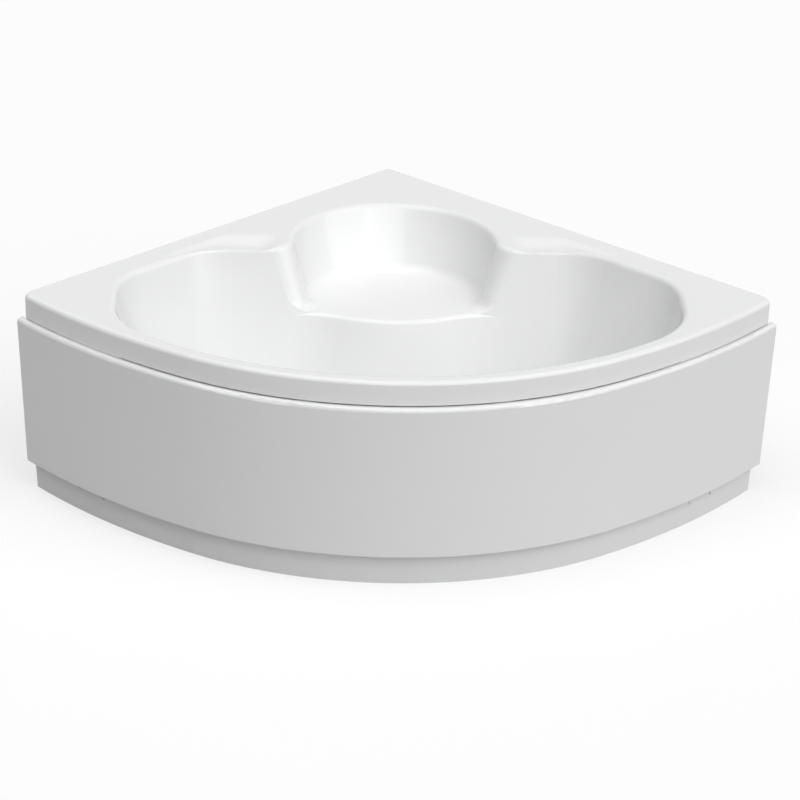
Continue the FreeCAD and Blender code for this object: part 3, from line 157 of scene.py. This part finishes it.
# white acrylic in front, a glass-fibre laminate behind
shellLook = {
    "color": (0.86, 0.862, 0.864, 1), "shade": (0.848, 0.851, 0.855, 1), "rough": 0.13, "spread": 0.05,
    "fibre": (0.78, 0.77, 0.69, 1), "resin": (0.6, 0.585, 0.48, 1), "fibreRough": 0.42, "fibreSpread": 0.2,
    "cloudScale": 3.2, "hazeScale": 70, "strandScale": 55, "hairScale": 240, "hairShare": 0.5,
    "waveScale": 9, "waveHeight": 0.35, "strandHeight": 3, "relief": 0.12, "depth": 0.0015,
}


def moulded(name, look, underside):
    finish = Finish(name, IOR=1.49)
    hidden = underside(finish)
    cloud = finish.noise(look["cloudScale"], 2)
    haze = finish.noise(look["hazeScale"], 4, 0.6)
    skin = finish.between(cloud, look["color"], look["shade"])
    strand = finish.noise(look["strandScale"], 5, 0.7)
    strand = strand + finish.noise(look["hairScale"], 2) * look["hairShare"]
    mat = finish.ramp(strand / (1 + look["hairShare"]), [(0.3, look["resin"]), (0.62, look["fibre"])])
    finish.feed("Base Color", finish.between(hidden, skin, mat))
    smooth = haze * look["spread"] + look["rough"]
    coarse = strand * look["fibreSpread"] + look["fibreRough"]
    finish.feed("Roughness", smooth + hidden * (coarse - smooth))
    gentle = finish.noise(look["waveScale"], 2) * look["waveHeight"]
    relief = gentle + hidden * (strand * look["strandHeight"] - gentle)
    finish.bump(relief, look["relief"], look["depth"])
    return finish.material


shellHidden = {"middle": 0.1, "steep": 0.05, "skirtTop": 0.555, "facingDown": -0.05}
panelHidden = {"middle": -0.3, "inward": -0.05, "facingDown": -0.5, "flangeBottom": 0.45}


def shellUnderside(finish):
    # the walls lean, so their hidden side faces down; the skirt's inner side faces the basin
    limit = shellHidden
    nx, ny, nz = finish.parts(finish.node("ShaderNodeNewGeometry", output="True Normal"))
    x, y, z = finish.parts(finish.place)
    inward = (nx * x + ny * (y + limit["middle"])).below(0)
    skirtInside = inward * nz.size().below(limit["steep"]) * z.below(limit["skirtTop"])
    return nz.below(limit["facingDown"]).larger(skirtInside)


def panelUnderside(finish):
    # the side that faces the bath, and the top flange from below
    limit = panelHidden
    nx, ny, nz = finish.parts(finish.node("ShaderNodeNewGeometry", output="True Normal"))
    x, y, z = finish.parts(finish.place)
    inward = (nx * x + ny * (y + limit["middle"])).below(limit["inward"])
    return inward + nz.below(limit["facingDown"]) * z.above(limit["flangeBottom"])


plasticLook = {
    "cap_plastic": {"color": gray(0.84), "shade": gray(0.8), "rough": 0.18, "grain": 900, "relief": 0.05},
    "waste_plastic": {"color": (0.76, 0.76, 0.74, 1), "shade": (0.7, 0.7, 0.68, 1), "rough": 0.4,
                      "grain": 420, "relief": 0.12},
    "hose_plastic": {"color": (0.33, 0.34, 0.35, 1), "shade": (0.28, 0.285, 0.3, 1), "rough": 0.42,
                     "grain": 300, "relief": 0.1},
    "cable_plastic": {"color": gray(0.02), "shade": gray(0.035), "rough": 0.45, "grain": 700,
                      "relief": 0.2},
    "leg_foot": {"color": gray(0.018), "shade": gray(0.03), "rough": 0.5, "grain": 500, "relief": 0.25},
    "rubber": {"color": gray(0.016), "shade": gray(0.026), "rough": 0.68, "grain": 650, "relief": 0.3},
}
plasticBase = {"mottleScale": 18, "wearScale": 60, "wearSpread": 0.14, "depth": 0.0006}


def plastic(name, look, base):
    finish = Finish(name, IOR=1.5)
    mottle = finish.noise(base["mottleScale"])
    finish.feed("Base Color", finish.between(mottle, look["color"], look["shade"]))
    finish.feed("Roughness", finish.noise(base["wearScale"]) * base["wearSpread"] + look["rough"])
    finish.bump(finish.noise(look["grain"], 2), look["relief"], base["depth"])
    return finish.material


# zinc crystals show on the galvanised sheet, and the thread is relief on the rod
metalLook = {
    "chrome": {"color": (0.82, 0.83, 0.84, 1), "shade": (0.76, 0.77, 0.785, 1), "rough": 0.05,
               "spread": 0.06, "grain": 260, "relief": 0.02},
    "zinc": {"color": (0.6, 0.6, 0.57, 1), "shade": (0.5, 0.5, 0.48, 1), "rough": 0.28,
             "spread": 0.2, "grain": 300, "relief": 0.08},
    "galvanised": {"color": (0.6, 0.62, 0.63, 1), "shade": (0.46, 0.48, 0.5, 1), "rough": 0.32,
                   "spread": 0.22, "grain": 120, "relief": 0.06, "crystals": 70},
}
metalBase = {"mottleScale": 45, "wearScale": 40, "depth": 0.0008}
threadLook = {"pitch": 0.00175, "relief": 0.9, "depth": 0.0006}


def metal(name, look, base, thread=None):
    finish = Finish(name, Metallic=1)
    if "crystals" in look:
        mottle = finish.cells(look["crystals"])
    else:
        mottle = finish.noise(base["mottleScale"])
    finish.feed("Base Color", finish.between(mottle, look["color"], look["shade"]))
    finish.feed("Roughness", finish.noise(base["wearScale"], 4, 0.6) * look["spread"] + look["rough"])
    if thread:
        height = (finish.parts(finish.place)[2] * (2 * math.pi / thread["pitch"])).wave()
        finish.bump(height, thread["relief"], thread["depth"])
    else:
        finish.bump(finish.noise(look["grain"], 2), look["relief"], base["depth"])
    return finish.material


paintLook = {
    "color": (0.1, 0.104, 0.108, 1), "shade": (0.085, 0.088, 0.092, 1), "rough": 0.42, "spread": 0.15,
    "mottleScale": 12, "wearScale": 90, "grain": 650, "relief": 0.18, "depth": 0.0005,
}


def powderCoat(name, look):
    finish = Finish(name, IOR=1.5)
    mottle = finish.noise(look["mottleScale"])
    finish.feed("Base Color", finish.between(mottle, look["color"], look["shade"]))
    finish.feed("Roughness", finish.noise(look["wearScale"]) * look["spread"] + look["rough"])
    finish.bump(finish.noise(look["grain"], 2, 0.4), look["relief"], look["depth"])
    return finish.material


boardLook = {
    "pale": (0.6, 0.44, 0.26, 1), "mid": (0.46, 0.31, 0.17, 1), "dark": (0.26, 0.165, 0.085, 1),
    "stretch": (1, 1.7, 2.4), "turn": (0.4, 0.3, 0.8), "chipScale": 210, "dustScale": 420,
    "dustShare": 0.3, "dustHeight": 0.6, "rough": 0.68, "spread": 0.15, "relief": 0.3, "depth": 0.0006,
}


def chipboard(name, look):
    finish = Finish(name, IOR=1.45)
    chip = finish.cells(look["chipScale"], finish.stretched(look["stretch"], look["turn"]))
    dust = finish.noise(look["dustScale"], 4, 0.65)
    mixed = chip * (1 - look["dustShare"]) + dust * look["dustShare"]
    finish.feed("Base Color", finish.ramp(mixed, [
        (0.12, look["dark"]), (0.45, look["mid"]), (0.85, look["pale"])]))
    finish.feed("Roughness", dust * look["spread"] + look["rough"])
    finish.bump(chip + dust * look["dustHeight"], look["relief"], look["depth"])
    return finish.material


# growth rings run along the batten, which the turn brings into line
battenLook = {
    "early": (0.62, 0.43, 0.22, 1), "late": (0.4, 0.24, 0.1, 1), "stretch": (0.7, 14, 14),
    "ringScale": 9, "fineScale": 60, "fineShare": 0.25, "fineHeight": 0.5, "rough": 0.6, "spread": 0.2,
    "relief": 0.2, "depth": 0.0008,
}


def spruce(name, look, turn):
    finish = Finish(name, IOR=1.45)
    grain = finish.stretched(look["stretch"], (0, 0, turn))
    ring = finish.noise(look["ringScale"], place=grain)
    fine = finish.noise(look["fineScale"], 4, 0.6, grain)
    mixed = ring * (1 - look["fineShare"]) + fine * look["fineShare"]
    finish.feed("Base Color", finish.ramp(mixed, [
        (0.36, look["early"]), (0.52, look["late"]), (0.6, look["early"])]))
    finish.feed("Roughness", fine * look["spread"] + look["rough"])
    finish.bump(ring + fine * look["fineHeight"], look["relief"], look["depth"])
    return finish.material


# finishes by material slot, and those of single nodes
finishes = {name: plastic(name, look, plasticBase) for name, look in plasticLook.items()}
finishes["acrylic"] = moulded("acrylic", shellLook, shellUnderside)
finishes["panel_acrylic"] = moulded("panel_acrylic", shellLook, panelUnderside)
finishes["chrome"] = metal("chrome", metalLook["chrome"], metalBase)
finishes["leg_steel"] = metal("zinc", metalLook["zinc"], metalBase)
finishes["sheet_steel"] = metal("galvanised", metalLook["galvanised"], metalBase)
finishes["frame_paint"] = powderCoat("frame_paint", paintLook)
finishes["board"] = chipboard("board", boardLook)
legCount = 6
special = {f"leg_rod_{count}": metal(f"thread_{count}", metalLook["zinc"], metalBase, threadLook)
           for count in range(1, legCount + 1)}
special["rim_batten_right"] = spruce("spruce_right", battenLook, math.pi / 4)
special["rim_batten_left"] = spruce("spruce_left", battenLook, -math.pi / 4)

for subpart in frame["record"]["subparts"]:
    name = subpart["node"]
    slots = nodes[name].data.materials
    slots.clear()
    slots.append(special.get(name) or finishes[subpart["material_slot"]])

print("overflow hose")
# how far the basin's walls lean in for each metre down
wallSlope = 112 / 410
hoseLook = {
    "radius": 0.0168, "valley": 0.0144, "pitch": 0.0046, "overlap": 0.0006, "sides": 40, "smooth": 50,
}
hoseRoute = {
    "overflow": (0, -0.695698, 0.5), "waste": (0, -0.528186, 0.119), "lean": math.atan(wallSlope),
    "drop": 0.046, "behind": 0.0295, "bend": 0.08,
}


def hosePlaces(route, look):
    # down the leaning wall, round one bend and level to the waste: a place and a direction each pitch
    down = Vector((0, math.sin(route["lean"]), -math.cos(route["lean"])))
    inward = Vector((0, math.cos(route["lean"]), math.sin(route["lean"])))
    level = Vector((0, 1, 0))
    start = Vector(route["overflow"]) + down * route["drop"] - inward * route["behind"]
    end = Vector(route["waste"])
    corner = start + down * ((start.z - end.z) / math.cos(route["lean"]))
    turn = down.angle(level)
    radius = route["bend"] / math.tan(turn / 2)
    first = (corner - start).length - route["bend"]
    middle = radius * turn
    total = first + middle + (end - corner).length - route["bend"]
    centre = corner + level * route["bend"] + Vector((0, 0, radius))
    count = round(total / look["pitch"])
    places = []
    for index in range(count):
        along = total * (index + 0.5) / count
        if along < first:
            places.append((start + down * along, down))
        elif along < first + middle:
            angle = turn - (along - first) / radius
            direction = Vector((0, math.cos(angle), -math.sin(angle)))
            outward = Vector((0, -math.sin(angle), -math.cos(angle)))
            places.append((centre + outward * radius, direction))
        else:
            places.append((corner + level * (along - first - middle + route["bend"]), level))
    return places


def makeHoseRing(look):
    # one corrugation: a circle extruded up, out over the crest and back in
    half = look["pitch"] / 2 + look["overlap"]
    bpy.ops.mesh.primitive_circle_add(vertices=look["sides"], radius=look["valley"],
                                      location=(0, 0, -half))
    ring = bpy.context.active_object
    wide = look["radius"] / look["valley"]
    bpy.ops.object.mode_set(mode="EDIT")
    bpy.ops.mesh.select_all(action="SELECT")
    for rise, spread in ((0.3, 1), (0.25, wide), (0.45, 1), (0.45, 1), (0.25, 1 / wide), (0.3, 1)):
        bpy.ops.mesh.extrude_region_move(TRANSFORM_OT_translate={"value": (0, 0, rise * half)})
        bpy.ops.transform.resize(value=(spread, spread, 1), center_override=(0, 0, 0))
    bpy.ops.mesh.select_all(action="SELECT")
    bpy.ops.mesh.normals_make_consistent(inside=False)
    bpy.ops.object.mode_set(mode="OBJECT")
    bpy.ops.object.transform_apply(location=True, rotation=True, scale=True)
    return ring


def makeHose(route, look):
    ring = makeHoseRing(look)
    pieces = []
    for place, direction in hosePlaces(route, look):
        mesh = ring.data.copy()
        turned = direction.to_track_quat("Z", "X").to_matrix().to_4x4()
        mesh.transform(Matrix.Translation(place) @ turned)
        piece = bpy.data.objects.new("corrugation", mesh)
        bpy.context.scene.collection.objects.link(piece)
        pieces.append(piece)
    bpy.data.objects.remove(ring)
    bpy.ops.object.select_all(action="DESELECT")
    for piece in pieces:
        piece.select_set(True)
    bpy.context.view_layer.objects.active = pieces[0]
    bpy.ops.object.join()
    hose = bpy.context.active_object
    hose.name = "overflow_hose_corrugated"
    bpy.ops.object.shade_smooth_by_angle(angle=math.radians(look["smooth"]))
    bpy.ops.object.select_all(action="DESELECT")
    hose.data.materials.clear()
    hose.data.materials.append(finishes["hose_plastic"])
    return hose


hose = makeHose(hoseRoute, hoseLook)
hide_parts("overflow_hose")
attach(hose, "bath")

print("shell lining")
# soft forms over the shell; their plans count x and y in metres from the corner where the walls meet
wallCorner = Vector((0, 0.783814, 0))
shellPlan = {"rim": 0.575, "floor": 0.165, "seat": 0.405, "slope": wallSlope, "back": -0.655,
             "lift": 0.00003}


def arcPoints(centre, radius, start, stop, steps):
    # points of an arc in a section, angles in degrees from level
    return [(centre[0] + radius * math.cos(math.radians(start + (stop - start) * step / steps)),
             centre[1] + radius * math.sin(math.radians(start + (stop - start) * step / steps)))
            for step in range(steps + 1)]


def drawSection(name, points):
    # a plane merged to one vertex, which is extruded from point to point
    bpy.ops.mesh.primitive_plane_add(size=0.001, location=(0, 0, 0))
    item = bpy.context.active_object
    item.name = name
    bpy.ops.object.mode_set(mode="EDIT")
    bpy.ops.mesh.select_all(action="SELECT")
    bpy.ops.mesh.merge(type="CENTER")
    bpy.ops.transform.translate(value=points[0])
    for here, there in zip(points, points[1:]):
        bpy.ops.mesh.extrude_region_move(TRANSFORM_OT_translate={"value": Vector(there) - Vector(here)})
    bpy.ops.mesh.select_all(action="SELECT")
    return item


def spinOn(centre, degrees, steps):
    # counterclockwise from above; the operator counts the other way
    place = wallCorner + Vector((centre[0], centre[1], 0))
    bpy.ops.mesh.spin(steps=steps, angle=math.radians(-degrees), center=place, axis=(0, 0, 1))


def closeSheet(item, thickness, smooth=40):
    # normals up or outwards, then a thin wall into the shell
    bpy.ops.mesh.select_all(action="SELECT")
    bpy.ops.mesh.remove_doubles(threshold=0.00001)
    bpy.ops.mesh.normals_make_consistent(inside=False)
    bpy.ops.object.mode_set(mode="OBJECT")
    bpy.ops.object.transform_apply(location=True, rotation=True, scale=True)
    upward = sum(face.normal.z * face.area for face in item.data.polygons)
    if upward < 0:
        item.data.flip_normals()
    wall = item.modifiers.new("wall", "SOLIDIFY")
    wall.thickness = thickness
    wall.offset = -1
    bpy.ops.object.modifier_apply(modifier=wall.name)
    bpy.ops.object.shade_smooth_by_angle(angle=math.radians(smooth))
    bpy.ops.object.select_all(action="DESELECT")


# the front's three arcs join at the angles join and sideEnd, in degrees from straight ahead
rimPlan = {
    "middleCentre": (0, -0.536), "sideCentre": (-0.50153, 0.23633), "front": -1.546, "join": 33,
    "sideEnd": 49.4, "edge": 0.012, "skirt": 0.0635, "hem": 0.002, "deck": 0.021,
    "edgeSteps": 12, "sideSteps": 48, "middleSteps": 150, "thickness": 0.001,
}


def makeRimEdge(plan):
    # skirt, rounded edge and a strip of deck, from end to end along the front
    rim, lift, edge = shellPlan["rim"], shellPlan["lift"], plan["edge"]
    top = rim + lift
    section = [(-lift, rim - plan["skirt"] + plan["hem"]), (-lift, rim - plan["skirt"] / 2)]
    for step in range(plan["edgeSteps"] + 1):
        angle = math.radians(90 * step / plan["edgeSteps"])
        section.append((edge - (edge + lift) * math.cos(angle), top - edge + edge * math.sin(angle)))
    section.append((plan["deck"], top))
    end = math.radians(plan["sideEnd"])
    middle, side = Vector((*plan["middleCentre"], 0)), Vector((*plan["sideCentre"], 0))
    sideRadius = plan["middleCentre"][1] - plan["front"] + (middle - side).length
    outward = Vector((-math.sin(end), -math.cos(end), 0))
    start = wallCorner + Vector((-side.x, side.y, 0)) + outward * sideRadius
    item = drawSection("rim_edge", [start - outward * inset + Vector((0, 0, z)) for inset, z in section])
    spinOn((-side.x, side.y), plan["sideEnd"] - plan["join"], plan["sideSteps"])
    spinOn(plan["middleCentre"], 2 * plan["join"], plan["middleSteps"])
    spinOn(plan["sideCentre"], plan["sideEnd"] - plan["join"], plan["sideSteps"])
    closeSheet(item, plan["thickness"])
    return item


# the nose is the seat's bulge, and a blend's hollow arc leads from it to the wall between the pillars
seatPlan = {
    "noseCentre": (0, -0.391), "noseRadius": 0.3236, "blend": 0.4, "pillar": 0.3, "edge": 0.014,
    "foot": 0.07, "seatStrip": 0.035, "floorStrip": 0.02, "edgeSteps": 8, "footSteps": 14,
    "noseSteps": 48, "blendSteps": 24, "thickness": 0.001,
}


def makeSeatFront(plan):
    # seat, rounded edge, leaning front, foot and floor, swept from pillar to pillar
    rim, seat, floor, back = shellPlan["rim"], shellPlan["seat"], shellPlan["floor"], shellPlan["back"]
    slope, lift = shellPlan["slope"], shellPlan["lift"]
    lean = math.degrees(math.atan(slope))
    reach = math.tan(math.radians((90 - lean) / 2))
    atSeat = (rim - seat) * slope
    atFloor = (rim - floor) * slope
    edge, foot, blend = plan["edge"], plan["foot"], plan["blend"]
    section = [(atSeat - edge * reach - plan["seatStrip"], seat)]
    section += arcPoints((atSeat - edge * reach, seat - edge), edge, 90, lean, plan["edgeSteps"])
    section += arcPoints((atFloor + foot * reach, floor + foot), foot, 180 + lean, 270, plan["footSteps"])
    section.append((atFloor + foot * reach + plan["floorStrip"], floor))
    away = plan["noseRadius"] + blend
    turn = math.degrees(math.acos((plan["noseCentre"][1] - back + blend) / away))
    blendX = away * math.sin(math.radians(turn))
    straight = {"value": (plan["pillar"] - blendX, 0, 0)}
    start = wallCorner + Vector((-plan["pillar"], back, 0))
    item = drawSection("seat_front", [start + Vector((0, -inset - lift, z + lift)) for inset, z in section])
    bpy.ops.mesh.extrude_region_move(TRANSFORM_OT_translate=straight)
    spinOn((-blendX, back - blend), -turn, plan["blendSteps"])
    spinOn(plan["noseCentre"], 2 * turn, plan["noseSteps"])
    spinOn((blendX, back - blend), -turn, plan["blendSteps"])
    bpy.ops.mesh.extrude_region_move(TRANSFORM_OT_translate=straight)
    closeSheet(item, plan["thickness"])
    return item


# the soft step from deck to armrest: start is its corner at the alcove, and besideAlcove, back and wall
# are the step's widths on its three sides; the values are the right armrest's
armrestPlan = {
    "start": (0.316, -0.548), "end": 0.664, "strip": 0.014, "wallLine": 0.058, "length": 0.372,
    "depth": 0.014, "besideAlcove": 0.055, "back": 0.085, "wall": 0.03,
    "edgeRadius": 0.018, "shoulder": (0.4446, -0.835), "shoulderRadius": 0.18, "sideDeck": 0.096,
    "pillarEnd": 0.34, "pillarReach": 0.0235, "pillarShift": 0.0019,
    "nearPillar": 0.0038, "pillarGain": 0.0068, "gainStart": 0.4, "gainLength": 0.05, "nearSide": 0.0042,
    "columns": 84, "rows": 44, "crowding": 1.6, "thickness": 0.0005,
}
diagonal = math.sqrt(0.5)


def smoothStep(share):
    share = min(max(share, 0), 1)
    return share * share * (3 - 2 * share)


def fromBasin(plan, x, y):
    # how far a place on the deck lies behind the basin's edge
    centreX, centreY = plan["shoulder"]
    if x < centreX:
        return y - shellPlan["back"]
    if y - centreY > x - centreX:
        return math.hypot(x - centreX, y - centreY) - plan["shoulderRadius"]
    return plan["sideDeck"] + (x + y) * diagonal


def armrestHeight(plan, x, y, ground):
    # the dip, then the basin's rounded edge, and never below the shell
    startX, startY = plan["start"]
    if x < startX:
        return ground
    toWall = -(x + y) * diagonal
    along = (x - startX - y + startY) * diagonal
    dip = max(plan["depth"] * (1 - along / plan["length"]), 0)
    soft = smoothStep((x - startX) / plan["besideAlcove"]) * smoothStep((startY - y) / plan["back"])
    height = -dip * soft * smoothStep((toWall - plan["wallLine"]) / plan["wall"])
    radius = plan["edgeRadius"]
    shift = plan["pillarShift"] * (max(plan["pillarEnd"] - x, 0) / plan["pillarReach"]) ** 2
    lean = math.atan(shellPlan["slope"])
    over = radius * math.tan((math.pi / 2 - lean) / 2) - fromBasin(plan, x, y) + shift
    if over > 0:
        height = min(height, math.sqrt(max(radius * radius - over * over, 0)) - radius)
    return max(ground, shellPlan["rim"] + height)


def armrestInner(plan, x):
    # the lining's line along the basin: beside the pillar, round the shoulder and along the side
    shoulderX, radius = plan["shoulder"][0], plan["shoulderRadius"]
    if x > shoulderX + radius * diagonal:
        return plan["nearSide"] - x - plan["sideDeck"] / diagonal
    gain = plan["pillarGain"] * smoothStep((x - plan["gainStart"]) / plan["gainLength"])
    inner = shellPlan["back"] - plan["nearPillar"] + gain
    if x > shoulderX:
        inner -= radius - math.sqrt(max(radius ** 2 - (x - shoulderX) ** 2, 0))
    return inner


def makeArmrest(name, plan, side, shell):
    # columns of a grid run from the deck to the basin, closer together near it
    bpy.ops.mesh.primitive_grid_add(x_subdivisions=plan["columns"], y_subdivisions=plan["rows"], size=2)
    item = bpy.context.active_object
    item.name = name
    startX, startY = plan["start"]
    first = startX - plan["strip"]
    for vertex in item.data.vertices:
        x = first + (plan["end"] - first) * (vertex.co.x + 1) / 2
        outer = min(startY + plan["strip"], -x - (plan["wallLine"] - plan["strip"]) / diagonal)
        share = 1 - (1 - (vertex.co.y + 1) / 2) ** plan["crowding"]
        y = outer + (armrestInner(plan, x) - outer) * share
        above = wallCorner + Vector((side * x, y, 1))
        ground = shell.ray_cast(above, Vector((0, 0, -1)))[0].z
        vertex.co = Vector((above.x, above.y, armrestHeight(plan, x, y, ground) + shellPlan["lift"]))
    bpy.ops.object.mode_set(mode="EDIT")
    closeSheet(item, plan["thickness"])
    return item


shellSurface = BVHTree.FromObject(nodes["tub_shell"], bpy.context.evaluated_depsgraph_get())
linings = [makeRimEdge(rimPlan), makeSeatFront(seatPlan),
           makeArmrest("armrest_step_right", armrestPlan, 1, shellSurface),
           makeArmrest("armrest_step_left", armrestPlan, -1, shellSurface)]
for lining in linings:
    lining.data.materials.clear()
    lining.data.materials.append(finishes["acrylic"])
    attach(lining, "bath")
    print(lining.name, len(lining.data.polygons), "faces")

print("camera and light")
view = {"x": -0.28719, "y": -7.07238, "z": 3.40967, "yaw": 0.043, "pitch": 0.428, "roll": 0.024,
        "lens": 127.459, "sensor": 36, "farEnd": 100}


def makeCamera(view):
    data = bpy.data.cameras.new("camera")
    data.lens = view["lens"]
    data.sensor_width = view["sensor"]
    data.clip_end = view["farEnd"]
    camera = bpy.data.objects.new("camera", data)
    bpy.context.scene.collection.objects.link(camera)
    turned = Matrix.Rotation(-view["yaw"], 4, "Z") @ Matrix.Rotation(math.pi / 2 - view["pitch"], 4, "X")
    place = Matrix.Translation((view["x"], view["y"], view["z"]))
    camera.matrix_world = place @ turned @ Matrix.Rotation(view["roll"], 4, "Z")
    bpy.context.scene.camera = camera


makeCamera(view)
bpy.context.scene.view_settings.view_transform = "Standard"

# broad soft suns, in degrees; the azimuth is counted from the front to the right
lights = {
    "key": {"azimuth": 12, "height": 36, "spread": 45, "strength": 0.75},
    "sky": {"azimuth": 30, "height": 70, "spread": 80, "strength": 1.07},
    "right": {"azimuth": 60, "height": 30, "spread": 55, "strength": 0.9},
    "left": {"azimuth": -60, "height": 68, "spread": 50, "strength": 0.62},
    "back": {"azimuth": -150, "height": 50, "spread": 60, "strength": 0.42},
}
lampDistance = 8


def makeLight(name, look):
    data = bpy.data.lights.new(name, "SUN")
    data.angle = math.radians(look["spread"])
    data.energy = look["strength"]
    lamp = bpy.data.objects.new(name, data)
    bpy.context.scene.collection.objects.link(lamp)
    azimuth, height = math.radians(look["azimuth"]), math.radians(look["height"])
    toward = Vector((math.sin(azimuth) * math.cos(height), -math.cos(azimuth) * math.cos(height),
                     math.sin(height)))
    turned = toward.to_track_quat("Z", "Y").to_matrix().to_4x4()
    lamp.matrix_world = Matrix.Translation(toward * lampDistance) @ turned


for name, look in lights.items():
    makeLight(name, look)

# level lights the bath, and shown is what the camera and mirrored rays see of the surroundings
backdrop = {"level": 0.03, "shown": 1.0, "floorSize": 60, "floorColor": 0.45, "floorGlow": 0.56}


def shown(graph):
    # rays that see the surroundings, straight or mirrored
    rays = [graph.node("ShaderNodeLightPath", output=kind)
            for kind in ("Is Camera Ray", "Is Glossy Ray", "Is Transmission Ray")]
    return rays[0].larger(rays[1]).larger(rays[2])


def makeWorld(look):
    world = bpy.data.worlds.new("surroundings")
    bpy.context.scene.world = world
    world.use_nodes = True
    graph = Graph(world.node_tree)
    strength = shown(graph) * (look["shown"] - look["level"]) + look["level"]
    background = world.node_tree.nodes["Background"]
    background.inputs["Color"].default_value = gray(1)
    world.node_tree.links.new(strength.socket, background.inputs["Strength"])


def makeFloor(look):
    # pale paper that glows toward the camera and still takes the bath's shadow
    bpy.ops.mesh.primitive_plane_add(size=look["floorSize"], location=(0, 0, 0))
    floor = bpy.context.active_object
    floor.name = "floor"
    finish = Finish("floor_paper", Base_Color=gray(look["floorColor"]), Roughness=1, Specular_IOR_Level=0)
    glow = finish.node("ShaderNodeEmission", {}, {"Color": gray(1),
                                                  "Strength": shown(finish) * look["floorGlow"]})
    paper = Wire(finish, finish.shader.outputs[0])
    both = finish.node("ShaderNodeAddShader", {}, {0: paper, 1: glow})
    finish.tree.links.new(both.socket, finish.tree.nodes["Material Output"].inputs["Surface"])
    floor.data.materials.append(finish.material)


makeWorld(backdrop)
makeFloor(backdrop)
